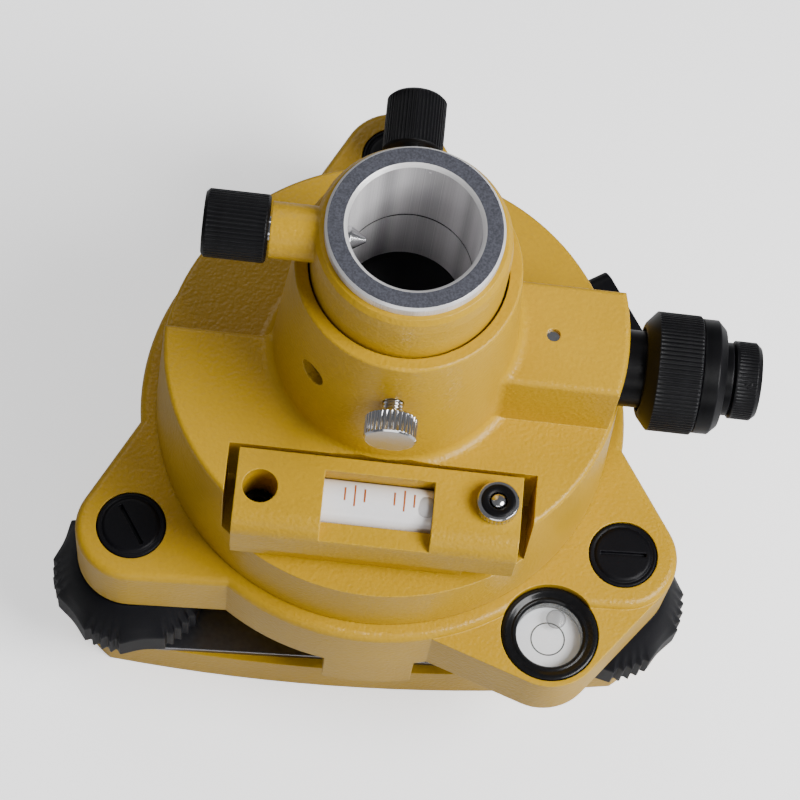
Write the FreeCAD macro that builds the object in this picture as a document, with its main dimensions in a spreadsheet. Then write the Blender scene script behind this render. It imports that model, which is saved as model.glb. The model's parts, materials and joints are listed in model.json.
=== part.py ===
import FreeCAD, Part
import math
import os
import re
import Sketcher

# Prism carrier on a levelling base: the lower half stands on a tripod head and
# levels the instrument, and the upper half turns on it and holds the spigot of a
# surveying prism. Millimetres, +Z up. The origin is the mouth of the tripod
# thread, in the middle of the base plate's underside. +X runs along the optical
# plummet, and -Y is the side of the plate level.

SIZES = {
    # base plate, tripod insert and leaf spring
    "thread_core": 6.85, "insert_radius": 11.0, "insert_flange": 15.0, "insert_rise": 2.0,
    "foot_reach": 60.25, "base_turn": 2.93, "base_thick": 13.0, "base_corner": 20.4,
    "base_corner_inset": 8.25,
    "base_side_arc": 430.0, "base_recess": 5.0, "spring_thick": 1.6, "spring_inset": 2.2,
    "spring_window": 24.0, "leaf_screw_radius": 3.2, "leaf_screw_reach": 31.0, "leaf_screw_head": 2.0,
    # foot screws, each one a ball-ended spindle with a hand wheel
    "ball_radius": 5.5, "ball_level": 9.0, "spindle_radius": 4.0, "spindle_drop": 7.0,
    "wheel_radius": 17.6, "wheel_height": 17.5, "wheel_band": 8.5, "wheel_gap": 1.5,
    "wheel_crown": 12.0, "sleeve_wall": 1.9, "cap_radius": 7.23, "cap_thick": 4.6,
    "cap_proud": 0.5, "cap_slot": 0.9, "cap_slot_depth": 1.3,
    # three-armed plate
    "plate_top": 55.0, "plate_thick": 17.5, "plate_radius": 52.3, "ear_radius": 11.8,
    "plate_edge": 1.8, "hub_depth": 10.5, "hub_space": 1.15, "hub_wall": 1.7,
    "tab_half": 9.6, "tab_depth": 12.5, "tab_wall": 5.0, "centre_bore": 27.0, "seat_depth": 8.0,
    # cam ring, its retainer, the studs that it holds and its twist knob
    "ring_thick": 6.0, "ring_play": 1.0, "ring_width": 3.6, "retainer_thick": 2.6,
    "retainer_width": 2.4, "stud_inset": 6.4, "stud_radius": 4.0, "stud_neck": 2.5,
    "stud_head": 4.4, "notch_turn": 22.0, "twist_drop": 12.0, "twist_space": 3.8,
    "twist_thick": 5.2, "twist_radius": 7.5, "twist_corner": 3.2, "twist_shaft": 3.2,
    # round level in its lug
    "lug_reach": 60.7, "lug_turn": -49.5, "lug_radius": 11.6, "lug_root": 42.9, "lug_drop": 1.5,
    "bubble_case": 10.2, "bubble_glass": 7.0, "bubble_case_depth": 10.5, "bubble_proud": 0.3,
    "bubble_sink": 1.2, "bubble_glass_thick": 3.0, "bubble_floor": 2.0, "bubble_screw": 1.3,
    "bubble_screw_inset": 2.8,
    # adapter and vertical axis
    "adapter_inset": 3.2, "adapter_thick": 3.0, "axis_radius": 20.0, "axis_height": 15.0,
    "axis_bore": 15.0, "bush_wall": 2.6, "nut_width": 2.6, "nut_thick": 3.5,
    # carrier casting
    "drum_radius": 47.2, "drum_draft": 1.7, "drum_height": 20.9, "step_height": 13.0,
    "step_back": 0.6, "cone_height": 39.7, "cone_wall": 2.54, "cone_flare": 3.03,
    "cone_gap": 0.45, "block_rise": 14.5, "block_half": 11.3, "block_draft": 1.8,
    "block_inset": 0.6, "shelf_height": 16.3, "notch_half": 31.2, "notch_depth": 22.4,
    "deck_round": 1.1, "block_round": 1.2, "rim_round": 0.6,
    "cone_blend": 2.5,
    # plate level
    "bar_left_gap": 2.2, "bar_right_gap": 2.7, "bar_back_gap": 1.2, "bar_width": 17.0,
    "bar_rise": 1.1, "bar_thick": 12.0, "bar_lift": 0.8, "bar_foot_short": 10.0,
    "bar_foot_inset": 1.2, "bar_round": 4.5, "window_left": -11.4, "window_right": 10.8,
    "window_rib": 3.0, "window_width": 9.8, "sill_depth": 3.4, "vial_radius": 4.9,
    "vial_inset": 7.6, "vial_depth": 6.4, "vial_half": 19.0, "pivot_inset": 4.9,
    "pivot_back": 7.8, "pivot_hole": 3.55, "pivot_depth": 14.5, "pivot_head": 3.1,
    "pivot_head_thick": 3.6, "pivot_shank": 2.0, "pivot_socket": 1.5, "pivot_socket_depth": 2.0,
    "nut_inset": 5.0, "nut_back": 6.5, "level_nut": 4.25, "level_nut_thick": 2.6,
    "level_disc": 3.5, "level_stud": 1.5, "level_stud_rise": 3.4, "screw_hold": 10.0,
    # optical plummet
    "sight_rise": 2.1, "neck_radius": 7.9, "neck_wall": 1.7, "neck_start": 16.0,
    "neck_length": 4.6, "shoulder_gap": 3.8, "shoulder_rim": 1.5, "shoulder_length": 2.3,
    "grip_length": 9.0, "grip_radius": 12.25, "grip_bore": 8.6, "barrel_radius": 11.75,
    "barrel_length": 5.0, "barrel_round": 1.6, "eye_tube_wall": 1.0, "eye_neck": 7.5,
    "eye_neck_length": 1.8, "eye_length": 5.9, "eye_radius": 8.0, "eye_lens": 5.0,
    "eye_lens_thick": 2.5, "eye_lens_sink": 0.8, "reticle_thick": 1.0, "reticle_inset": 4.2,
    "mirror_half": 5.5, "seat_thick": 2.0, "sight_bore": 9.5, "objective_rise": 9.0,
    "objective_thick": 3.0, "objective_radius": 7.0,
    # prism socket
    "socket_bore": 12.7, "socket_depth": 38.2, "socket_gap": 14.9, "pad_thick": 1.5, "liner_wall": 2.3,
    "liner_upper": 21.0, "liner_flange_inset": 2.01, "liner_flange_thick": 2.6,
    "liner_edge": 0.5, "joint_groove": 0.25, "bore_chamfer": 0.75, "sleeve_thick": 4.05, "sleeve_floor": 1.4,
    "sleeve_taper": 1.15, "sleeve_round": 4.0, "boss_radius": 5.4, "boss_length": 7.9,
    "boss_drop": 0.1, "clamp_shaft": 2.4, "clamp_reach": 3.8, "clamp_point": 0.5,
    "clamp_cone": 2.9, "clamp_knob": 6.55, "clamp_knob_length": 12.3,
    # side screws and the brake of the vertical axis
    "thumb_drop": 14.0, "thumb_shaft": 2.0, "thumb_space": 1.13, "thumb_head": 5.15,
    "thumb_head_length": 4.8, "grip_screw_drop": 18.1, "grip_screw_turn": -134.0,
    "grip_screw_radius": 2.2, "grip_screw_seat": 3.0, "top_screw_x": 31.0,
    "top_screw_radius": 1.4, "top_screw_sink": 0.8, "brake_x": 0.3, "brake_drop": 3.5,
    "brake_shaft": 2.6, "brake_space": 6.8, "brake_knob": 6.65, "brake_knob_length": 13.4,
    # clearances: a turning fit, a loose fit, room between pieces, and travel before a screw bites
    "running": 0.06, "wall_gap": 0.2, "gap": 0.4, "bite": 0.5,
}

# Heights, radii and places that follow from the sizes above.
DERIVED = {
    "leaf_top": "base_thick + spring_thick",
    "corner_reach": "foot_reach - base_corner_inset",
    "insert_top": "base_thick + insert_rise",
    "plate_low": "plate_top - plate_thick",
    "cap_seat": "plate_top + cap_proud - cap_thick",
    "spindle_top": "plate_top - spindle_drop",
    "wheel_top": "plate_low - wheel_gap",
    "wheel_low": "wheel_top - wheel_height",
    "sleeve_outer": "spindle_radius + sleeve_wall",
    "hub_radius": "foot_reach - wheel_radius - hub_space",
    "hub_low": "plate_low - hub_depth",
    "tab_low": "plate_low - tab_depth",
    "ring_room": "hub_radius - hub_wall",
    "ring_room_top": "plate_top - seat_depth",
    "ring_outer": "ring_room - gap",
    "ring_inner": "ring_outer - ring_width",
    "ring_high": "ring_room_top - ring_play",
    "ring_low": "ring_high - ring_thick",
    "stud_reach": "ring_outer - stud_inset",
    "stud_low": "ring_low - stud_head",
    "twist_level": "plate_top - twist_drop",
    "twist_start": "plate_radius + twist_space",
    "lug_top": "plate_top - lug_drop",
    "bubble_top": "lug_top + bubble_proud",
    "bubble_case_low": "plate_top - bubble_case_depth",
    "glass_high": "bubble_top - bubble_sink",
    "glass_low": "glass_high - bubble_glass_thick",
    "bubble_floor_low": "glass_low - bubble_floor",
    "adapter_radius": "drum_radius - adapter_inset",
    "adapter_top": "plate_top + adapter_thick",
    "axis_top": "plate_top + axis_height",
    "bush_outer": "axis_radius + bush_wall",
    "nut_radius": "axis_radius + nut_width",
    "nut_low": "axis_top + gap",
    "nut_high": "nut_low + nut_thick",
    "drum_low": "plate_top + gap",
    "drum_foot": "drum_radius + drum_draft",
    "rear_deck": "plate_top + drum_height",
    "front_deck": "rear_deck + step_height",
    "block_top": "front_deck + block_rise",
    "block_end": "drum_radius - block_inset",
    "block_foot": "block_half + block_draft",
    "cone_top": "front_deck + cone_height",
    "shelf": "plate_top + shelf_height",
    "bar_left": "bar_left_gap - notch_half",
    "bar_right": "notch_half - bar_right_gap",
    "notch_back": "notch_depth - drum_radius",
    "bar_back": "notch_back - bar_back_gap",
    "bar_front": "bar_back - bar_width",
    "bar_top": "front_deck + bar_rise",
    "bar_under": "bar_top - bar_thick",
    "bar_foot": "shelf + bar_lift",
    "bar_foot_right": "bar_right - bar_foot_short",
    "window_back": "bar_back - window_rib",
    "window_front": "window_back - window_width",
    "window_sill": "bar_top - sill_depth",
    "vial_y": "bar_back - vial_inset",
    "vial_level": "bar_top - vial_depth",
    "pivot_x": "bar_left + pivot_inset",
    "pivot_y": "bar_back - pivot_back",
    "pivot_floor": "bar_top - pivot_depth",
    "pivot_head_low": "pivot_floor + gap",
    "pivot_head_top": "pivot_head_low + pivot_head_thick",
    "nut_x": "bar_right - nut_inset",
    "nut_y": "bar_back - nut_back",
    "level_nut_low": "bar_top + wall_gap/2",
    "level_nut_high": "level_nut_low + level_nut_thick",
    "level_stud_top": "bar_top + level_stud_rise",
    "screw_low": "shelf - screw_hold",
    "sight_level": "front_deck + sight_rise",
    "neck_inner": "neck_radius - neck_wall",
    "neck_end": "block_end + neck_length",
    "shoulder_start": "block_end + shoulder_gap",
    "grip_start": "shoulder_start + shoulder_length",
    "grip_end": "grip_start + grip_length",
    "barrel_start": "grip_end + gap/2",
    "barrel_end": "grip_end + barrel_length",
    "eye_start": "barrel_end + eye_neck_length",
    "eye_end": "eye_start + eye_length",
    "eye_lens_high": "eye_end - eye_lens_sink",
    "eye_lens_low": "eye_lens_high - eye_lens_thick",
    "reticle_low": "neck_end - reticle_inset",
    "objective_level": "axis_top + objective_rise",
    "mirror_low": "sight_level - mirror_half",
    "liner_outer": "socket_bore + liner_wall",
    "sleeve_radius": "liner_outer + sleeve_thick",
    "sleeve_crown": "sleeve_radius - sleeve_taper",
    "liner_flange": "sleeve_radius - liner_flange_inset",
    "cone_bore": "sleeve_radius + cone_gap",
    "cone_rim": "cone_bore + cone_wall",
    "cone_foot": "cone_rim + cone_flare",
    "pad_low": "sight_level + socket_gap",
    "socket_floor": "pad_low + pad_thick",
    "socket_top": "socket_floor + socket_depth",
    "sleeve_low": "pad_low - sleeve_floor",
    "liner_joint": "socket_top - liner_upper",
    "liner_shelf": "socket_top - liner_flange_thick",
    "boss_end": "sleeve_radius + boss_length",
    "clamp_level": "liner_shelf - boss_radius - boss_drop",
    "clamp_tip": "socket_bore - clamp_reach",
    "clamp_start": "boss_end + gap",
    "clamp_end": "clamp_start + clamp_knob_length",
    "thumb_level": "cone_top - thumb_drop",
    "thumb_tip": "sleeve_radius + bite",
    "thumb_start": "cone_foot + thumb_space",
    "thumb_end": "thumb_start + thumb_head_length",
    "grip_screw_level": "cone_top - grip_screw_drop",
    "brake_level": "axis_top - brake_drop",
    "brake_tip": "axis_radius + bite",
    "brake_start": "drum_foot + brake_space",
    "brake_end": "brake_start + brake_knob_length",
}

FEET = (-150, -30, 90)         # directions of the three feet before base_turn
SIDES = (-90, 150, 30)         # directions of the middles of the three sides
UPRIGHT = FreeCAD.Rotation()
ALONG_X = FreeCAD.Rotation(FreeCAD.Vector(0, 1, 0), 90)
ALONG_MINUS_X = FreeCAD.Rotation(FreeCAD.Vector(0, 1, 0), -90)
ALONG_Y = FreeCAD.Rotation(FreeCAD.Vector(1, 0, 0), -90)
ALONG_MINUS_Y = FreeCAD.Rotation(FreeCAD.Vector(1, 0, 0), 90)

doc = FreeCAD.newDocument("PrismCarrier")
PIECES = []


# ---- sizes, expressions and the building blocks made from them ----

def make_sheet():
    """Put every driving size in a sheet, one aliased cell each."""
    sheet = doc.addObject("Spreadsheet::Sheet", "Sizes")
    for row, (name, value) in enumerate(SIZES.items(), start=1):
        sheet.set(f"A{row}", name)
        sheet.set(f"B{row}", str(value))
        sheet.setAlias(f"B{row}", name)
    doc.recompute()
    return sheet


SHEET = make_sheet()


def cells(text):
    """An expression with its derived names written out and each size's name led by the sheet's."""
    def written_out(word):
        name = word[0]
        if name in DERIVED:
            return f"({cells(DERIVED[name])})"
        return f"Sizes.{name}" if name in SIZES else name
    return re.sub(r"[a-z_]+", written_out, text)


def number(text):
    value = SHEET.evalExpression(cells(text))
    return float(getattr(value, "Value", value))


def bind(thing, **sizes):
    for prop, text in sizes.items():
        thing.setExpression(prop, cells(text))
    return thing


def place(thing, spot, turn=UPRIGHT):
    """Stand a thing at a spot given by three expressions, turned by a rotation."""
    thing.Placement.Rotation = turn
    for axis, text in zip("xyz", spot):
        thing.setExpression(f"Placement.Base.{axis}", cells(text))
    return thing


def polar(reach, angle):
    """x and y expressions of a point at a reach and an angle in degrees."""
    return f"({reach})*cos(({angle})*1 deg)", f"({reach})*sin(({angle})*1 deg)"


def foot_angle(direction):
    return f"{direction} + base_turn"


def heading(angle, lay=ALONG_X):
    """Rotation that lays a piece's own axis along a level direction."""
    return FreeCAD.Rotation(FreeCAD.Vector(0, 0, 1), number(angle)) * lay


def cylinder(name, radius, low, high, x="0", y="0"):
    solid = bind(doc.addObject("Part::Cylinder", name), Radius=radius, Height=f"({high}) - ({low})")
    return place(solid, (x, y, low))


def rod(name, radius, start, end, spot, turn):
    """A cylinder along its own axis from start to end, laid through a spot."""
    solid = bind(doc.addObject("Part::Cylinder", name), Radius=radius, Height=f"({end}) - ({start})")
    solid.Placement.Rotation = turn
    along = turn.multVec(FreeCAD.Vector(0, 0, 1))
    for axis, text, part in zip("xyz", spot, along):
        solid.setExpression(f"Placement.Base.{axis}", cells(f"({text}) + {part:.12f}*({start})"))
    return solid


def cone(name, low_radius, high_radius, low, high, x="0", y="0"):
    solid = doc.addObject("Part::Cone", name)
    bind(solid, Radius1=low_radius, Radius2=high_radius, Height=f"({high}) - ({low})")
    return place(solid, (x, y, low))


def box(name, x, y, z):
    """A box from three pairs of (low, high) expressions."""
    solid = doc.addObject("Part::Box", name)
    bind(solid, Length=f"({x[1]}) - ({x[0]})", Width=f"({y[1]}) - ({y[0]})", Height=f"({z[1]}) - ({z[0]})")
    return place(solid, (x[0], y[0], z[0]))


def join(name, *solids):
    whole = doc.addObject("Part::MultiFuse", name)
    whole.Shapes = list(solids)
    whole.Refine = True
    return whole


def cut(name, solid, *tools):
    result = doc.addObject("Part::Cut", name)
    result.Base = solid
    result.Tool = tools[0] if len(tools) == 1 else join(name + "_tools", *tools)
    result.Refine = True
    return result


def overlap(name, *solids):
    shared = doc.addObject("Part::MultiCommon", name)
    shared.Shapes = list(solids)
    return shared


def outline(body, role, points):
    """A closed polygon on one of the body's planes, each corner bound to its two expressions."""
    plane = next(part for part in body.Origin.OriginFeatures if part.Role == role)
    sketch = body.newObject("Sketcher::SketchObject", body.Name + "_outline")
    sketch.AttachmentSupport = [(plane, "")]
    sketch.MapMode = "FlatFace"
    corners = [FreeCAD.Vector(number(across), number(up), 0) for across, up in points]
    count = len(corners)
    sketch.addGeometry([Part.LineSegment(corners[i], corners[(i + 1) % count]) for i in range(count)])
    for i in range(count):
        sketch.addConstraint(Sketcher.Constraint("Coincident", i, 2, (i + 1) % count, 1))
    for i, (corner, texts) in enumerate(zip(corners, points)):
        for kind, value, text, axis in (("DistanceX", corner.x, texts[0], -2),
                                        ("DistanceY", corner.y, texts[1], -1)):
            if text == "0":
                sketch.addConstraint(Sketcher.Constraint("PointOnObject", i, 1, axis))
            else:
                place_in_list = sketch.addConstraint(Sketcher.Constraint(kind, -1, 1, i, 1, value))
                sketch.setExpression(f"Constraints[{place_in_list}]", cells(text))
    return sketch


def turned(name, profile, spot=("0", "0", "0"), turn=UPRIGHT):
    """A turned piece: a profile of (radius, height) corners spun round the body's own axis."""
    body = doc.addObject("PartDesign::Body", name)
    sketch = outline(body, "XZ_Plane", profile)
    spin = body.newObject("PartDesign::Revolution", name + "_spin")
    spin.Profile = sketch
    spin.ReferenceAxis = (sketch, ["V_Axis"])
    spin.Angle = 360
    return place(body, spot, turn)


def plate(name, points, low, high, spot=("0", "0", "0"), turn=UPRIGHT):
    """A flat piece: a polygon padded from one height to another along the body's own axis."""
    body = doc.addObject("PartDesign::Body", name)
    sketch = outline(body, "XY_Plane", points)
    sketch.setExpression("AttachmentOffset.Base.z", cells(low))
    pad = body.newObject("PartDesign::Pad", name + "_pad")
    pad.Profile = sketch
    bind(pad, Length=f"({high}) - ({low})")
    return place(body, spot, turn)


def ring(name, inner, outer, low, high):
    return turned(name, [(inner, low), (outer, low), (outer, high), (inner, high)])


def belt(name, start, end, low, high):
    """Plate spanned by the two common tangents of two circles, each circle an (x, y, radius)."""
    (x1, y1, r1), (x2, y2, r2) = start, end
    along = f"atan2(({y2}) - ({y1}); ({x2}) - ({x1}))"
    spread = f"acos((({r1}) - ({r2}))/sqrt((({x2}) - ({x1}))^2 + (({y2}) - ({y1}))^2))"
    corners = []
    for (x, y, radius), side in ((start, "-"), (end, "-"), (end, "+"), (start, "+")):
        normal = f"({along} {side} {spread})"
        corners.append((f"({x}) + ({radius})*cos{normal}", f"({y}) + ({radius})*sin{normal}"))
    return plate(name, corners, low, high)


def round_edges(name, solid, radius, wanted):
    """Round the edges of a solid that answer to a test on the edge."""
    doc.recompute()
    size = number(radius)
    picked = [(i, size, size) for i, edge in enumerate(solid.Shape.Edges, start=1) if wanted(edge)]
    fillet = doc.addObject("Part::Fillet", name)
    fillet.Base = solid
    fillet.Edges = picked
    return fillet


def at_height(*levels):
    """Test for edges that lie level at one of some heights."""
    heights = [number(level) for level in levels]

    def wanted(edge):
        low, high = edge.BoundBox.ZMin, edge.BoundBox.ZMax
        return any(abs(low - height) < 0.01 and abs(high - height) < 0.01 for height in heights)
    return wanted


def deck_rims():
    """Test for the outer edges of both decks; the corner at the foot of the step stays sharp."""
    on_front, on_rear = at_height("front_deck"), at_height("rear_deck")

    def wanted(edge):
        return on_front(edge) or (on_rear(edge) and edge.BoundBox.YLength > 0.01)
    return wanted


def around_cone():
    """Test for the edges where the cone stands on the decks and meets the top of the block."""
    reach = number("cone_foot + 2")
    low, deck, high = (number(level) for level in ("rear_deck", "front_deck", "block_top"))

    def wanted(edge):
        spot = edge.BoundBox
        near = max(-spot.XMin, spot.XMax, -spot.YMin, spot.YMax) < reach
        on_a_deck = any(abs(spot.ZMin - z) < 0.02 and abs(spot.ZMax - z) < 0.02 for z in (low, deck))
        beside_block = spot.ZMin > deck - 0.02 and spot.ZMax < high + 0.02
        return near and (on_a_deck or beside_block)
    return wanted


def piece(name, solid):
    """Name a finished piece; the name is its node and its file."""
    solid.Label = name
    PIECES.append(solid)
    return solid


# ---- levelling base: the plate that the tripod screw pulls down ----

def base():
    """Rounded triangular plate, its tripod insert, the leaf spring over it and the spring's screws."""
    blank = overlap("base_blank", triangle("base", "base_corner", "0", "base_thick"), *side_arcs())
    seats = [cylinder(f"ball_seat_{i}", "ball_radius + wall_gap", "ball_level - ball_radius - wall_gap",
                      "base_thick + 1", *polar("foot_reach", foot_angle(direction)))
             for i, direction in enumerate(FEET, start=1)]
    well = ring("base_well", "insert_flange + 3", "spring_window", "base_thick - base_recess",
                "base_thick + 1")
    hole = cylinder("insert_hole", "insert_radius", "-1", "base_thick + 1")
    body = cut("base_plate", blank, hole, well, *seats)
    piece("base_plate", body)

    piece("tripod_insert", turned("tripod_insert", [
        ("thread_core", "0"), ("insert_radius", "0"), ("insert_radius", "base_thick"),
        ("insert_flange", "base_thick"), ("insert_flange", "insert_top"),
        ("thread_core", "insert_top")]))

    leaf = overlap("leaf_blank", triangle("leaf", "base_corner - spring_inset", "base_thick",
                                          "leaf_top"))
    ball_holes = [cylinder(f"leaf_hole_{i}", "spindle_radius + gap", "base_thick - 1",
                           "leaf_top + 1", *polar("foot_reach", foot_angle(direction)))
                  for i, direction in enumerate(FEET, start=1)]
    window = cylinder("leaf_window", "spring_window", "base_thick - 1", "leaf_top + 1")
    holes = leaf_screws("leaf_screw_hole", "leaf_screw_radius*0.6", "base_thick - 1", "base_thick + 4")
    piece("spring_plate", cut("spring_plate", leaf, window, *ball_holes, *holes))

    heads = leaf_screws("leaf_screw", "leaf_screw_radius", "leaf_top", "leaf_top + leaf_screw_head")
    piece("spring_screws", join("spring_screws", *heads))


def triangle(name, corner, low, high):
    """Hull of three circles near the feet: corner discs and the straight-sided plate between them."""
    points = []
    for direction in FEET:
        x, y = polar("corner_reach", foot_angle(direction))
        for side in (-60, 60):
            nx, ny = polar(corner, foot_angle(direction + side))
            points.append((f"{x} + {nx}", f"{y} + {ny}"))
    discs = [cylinder(f"{name}_corner_{i}", corner, low, high, *polar("corner_reach", foot_angle(direction)))
             for i, direction in enumerate(FEET, start=1)]
    return join(name + "_hull", plate(name + "_middle", points, low, high), *discs)


def side_arcs():
    """Three large discs whose rims are the gently bowed sides of the base plate."""
    inward = "corner_reach/2 + base_corner - base_side_arc"
    return [cylinder(f"side_arc_{i}", "base_side_arc", "0", "base_thick",
                     *polar(inward, foot_angle(direction)))
            for i, direction in enumerate(SIDES, start=1)]


def leaf_screws(name, radius, low, high):
    return [cylinder(f"{name}_{i}", radius, low, high, *polar("leaf_screw_reach", foot_angle(direction)))
            for i, direction in enumerate(SIDES, start=1)]


# ---- three foot screws ----

def foot_screws():
    """Ball-ended spindle, hand wheel, threaded sleeve and slotted cap on each of the three axes."""
    for i, direction in enumerate(FEET, start=1):
        spot = (*polar("foot_reach", foot_angle(direction)), "0")
        piece(f"foot_screw_{i}", foot_screw(f"foot_screw_{i}", spot))
        piece(f"foot_wheel_{i}", turned(f"foot_wheel_{i}", [
            ("spindle_radius", "wheel_low"), ("wheel_radius", "wheel_low"),
            ("wheel_radius", "wheel_low + wheel_band"), ("wheel_crown", "wheel_top"),
            ("spindle_radius", "wheel_top")], spot))
        piece(f"foot_sleeve_{i}", ring_at(f"foot_sleeve_{i}", "spindle_radius + running",
                                          "sleeve_outer", "plate_low", "cap_seat", spot))
        cap = cylinder(f"cap_{i}_blank", "cap_radius", "cap_seat", "plate_top + cap_proud", *spot[:2])
        slot = box(f"cap_{i}_slot", ("-cap_radius - 1", "cap_radius + 1"), ("-cap_slot/2", "cap_slot/2"),
                   ("0", "cap_slot_depth + 1"))
        slot_turn = FreeCAD.Rotation(FreeCAD.Vector(0, 0, 1), CAP_TURNS[i - 1])
        turned_slot = slot_turn.multVec(FreeCAD.Vector(1, 0, 0))
        place(slot, (f"{spot[0]} - (cap_radius + 1)*{turned_slot.x:.6f} + cap_slot/2*{turned_slot.y:.6f}",
                     f"{spot[1]} - (cap_radius + 1)*{turned_slot.y:.6f} - cap_slot/2*{turned_slot.x:.6f}",
                     "plate_top + cap_proud - cap_slot_depth"), slot_turn)
        piece(f"screw_cap_{i}", cut(f"screw_cap_{i}", cap, slot))


CAP_TURNS = (-56, 3, 78)       # how the caps' slots happened to stop


def ring_at(name, inner, outer, low, high, spot):
    return turned(name, [(inner, low), (outer, low), (outer, high), (inner, high)], spot)


def foot_screw(name, spot):
    """Spindle with a ball at its foot that the leaf spring holds in the base plate's seat."""
    ball = doc.addObject("Part::Sphere", name + "_ball")
    bind(ball, Radius="ball_radius")
    place(ball, (spot[0], spot[1], "ball_level"))
    below_leaf = cylinder(name + "_ball_room", "ball_radius + 1", "0", "base_thick - wall_gap", *spot[:2])
    spindle = cylinder(name + "_spindle", "spindle_radius", "ball_level", "spindle_top", *spot[:2])
    return join(name, overlap(name + "_foot", ball, below_leaf), spindle)


# ---- the three-armed plate and what is fixed to it ----

def levelling_plate():
    """Three-armed casting: disc, arms to the ears, lug of the round level, hub and side tabs."""
    low, high = "plate_low", "plate_top"
    disc = cylinder("plate_disc", "plate_radius", low, high)
    ears = [(*polar("foot_reach", foot_angle(direction)), "ear_radius") for direction in FEET]
    ear_discs = [cylinder(f"ear_{i}", "ear_radius", low, high, x, y)
                 for i, (x, y, _) in enumerate(ears, start=1)]
    arms = [belt(f"arm_{i + 1}", ears[i], ears[(i + 1) % 3], low, high) for i in range(3)]
    upper = join("plate_arms", disc, *ear_discs, *arms)
    rounded = round_edges("plate_arms_rounded", upper, "plate_edge", at_height("plate_top"))

    lug = (*polar("lug_reach", "lug_turn"), "lug_radius")
    lug_disc = cylinder("lug_disc", "lug_radius", low, "lug_top", lug[0], lug[1])
    lug_root = belt("lug_root", ("0*foot_reach", "0*foot_reach", "lug_root"), lug, low, "lug_top")
    lug_arm = belt("lug_arm", lug, ears[1], low, "lug_top")

    hub = cylinder("hub", "hub_radius", "hub_low", low)
    whole = join("plate_casting", rounded, lug_disc, lug_root, lug_arm, hub, *side_tabs(low))

    cap_wells = [cylinder(f"cap_well_{i}", "cap_radius + wall_gap", "cap_seat", "plate_top + 1", x, y)
                 for i, (x, y, _) in enumerate(ears, start=1)]
    sleeve_holes = [cylinder(f"sleeve_hole_{i}", "sleeve_outer", f"{low} - 1", "plate_top", x, y)
                    for i, (x, y, _) in enumerate(ears, start=1)]
    bubble_well = cylinder("bubble_well", "bubble_case + wall_gap", "bubble_case_low", "plate_top + 1",
                           *lug[:2])
    bore = cylinder("centre_hole", "centre_bore", "hub_low - 1", "plate_top + 1")
    room = cylinder("ring_room", "ring_room", "hub_low - 1", "ring_room_top")
    stud_holes = [cylinder(f"stud_hole_{i}", "stud_radius + wall_gap", "ring_room_top - 1", "plate_top + 1",
                           *polar("stud_reach", foot_angle(direction))) for i, direction in enumerate(FEET)]
    shaft_hole = rod("twist_hole", "twist_shaft + running", "stud_reach", "plate_radius + 10",
                     ("0", "0", "twist_level"), heading(foot_angle(SIDES[2])))
    bubble_screw_holes = bubble_screws("bubble_screw_hole", "bubble_screw + wall_gap", f"{low} - 1",
                                       "bubble_case_low + 1")
    body = cut("levelling_plate", whole, *cap_wells, *sleeve_holes, bubble_well, bore, room, *stud_holes,
               shaft_hole, *bubble_screw_holes)
    piece("levelling_plate", body)


def side_tabs(low):
    """Two tabs that hang from the plate's rim at the middles of the free sides."""
    tabs = []
    for i, direction in enumerate(SIDES[:2], start=1):
        block = box(f"tab_{i}_block", ("0", "plate_radius"), ("-tab_half", "tab_half"), ("tab_low", low))
        turn = heading(foot_angle(direction), UPRIGHT)
        across = turn.multVec(FreeCAD.Vector(0, 1, 0))
        place(block, (f"-tab_half*{across.x:.12f}", f"-tab_half*{across.y:.12f}", "tab_low"), turn)
        wall = ring(f"tab_{i}_wall", "plate_radius - tab_wall", "plate_radius", "tab_low", low)
        tabs.append(overlap(f"tab_{i}", block, wall))
    return tabs


def round_level():
    """Black case with a white floor and a glass cap, on three adjusting screws in the lug."""
    spot = (*polar("lug_reach", "lug_turn"), "0")
    piece("round_level_case", turned("round_level_case", [
        ("0", "bubble_case_low"), ("bubble_case", "bubble_case_low"), ("bubble_case", "bubble_top"),
        ("bubble_glass", "bubble_top"), ("bubble_glass", "bubble_floor_low"),
        ("0", "bubble_floor_low")], spot))
    piece("round_level_floor", cylinder("round_level_floor", "bubble_glass", "bubble_floor_low",
                                        "glass_low", *spot[:2]))
    piece("round_level_glass", cylinder("round_level_glass", "bubble_glass", "glass_low", "glass_high",
                                        *spot[:2]))
    screws = bubble_screws("bubble_screw", "bubble_screw", "plate_low", "bubble_case_low")
    piece("round_level_screws", join("round_level_screws", *screws))


def bubble_screws(name, radius, low, high):
    lug_x, lug_y = polar("lug_reach", "lug_turn")
    screws = []
    for i, direction in enumerate(FEET, start=1):
        dx, dy = polar("bubble_case - bubble_screw_inset", direction)
        screws.append(cylinder(f"{name}_{i}", radius, low, high, f"{lug_x} + {dx}", f"{lug_y} + {dy}"))
    return screws


# ---- lock that holds the adapter's studs ----

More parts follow.
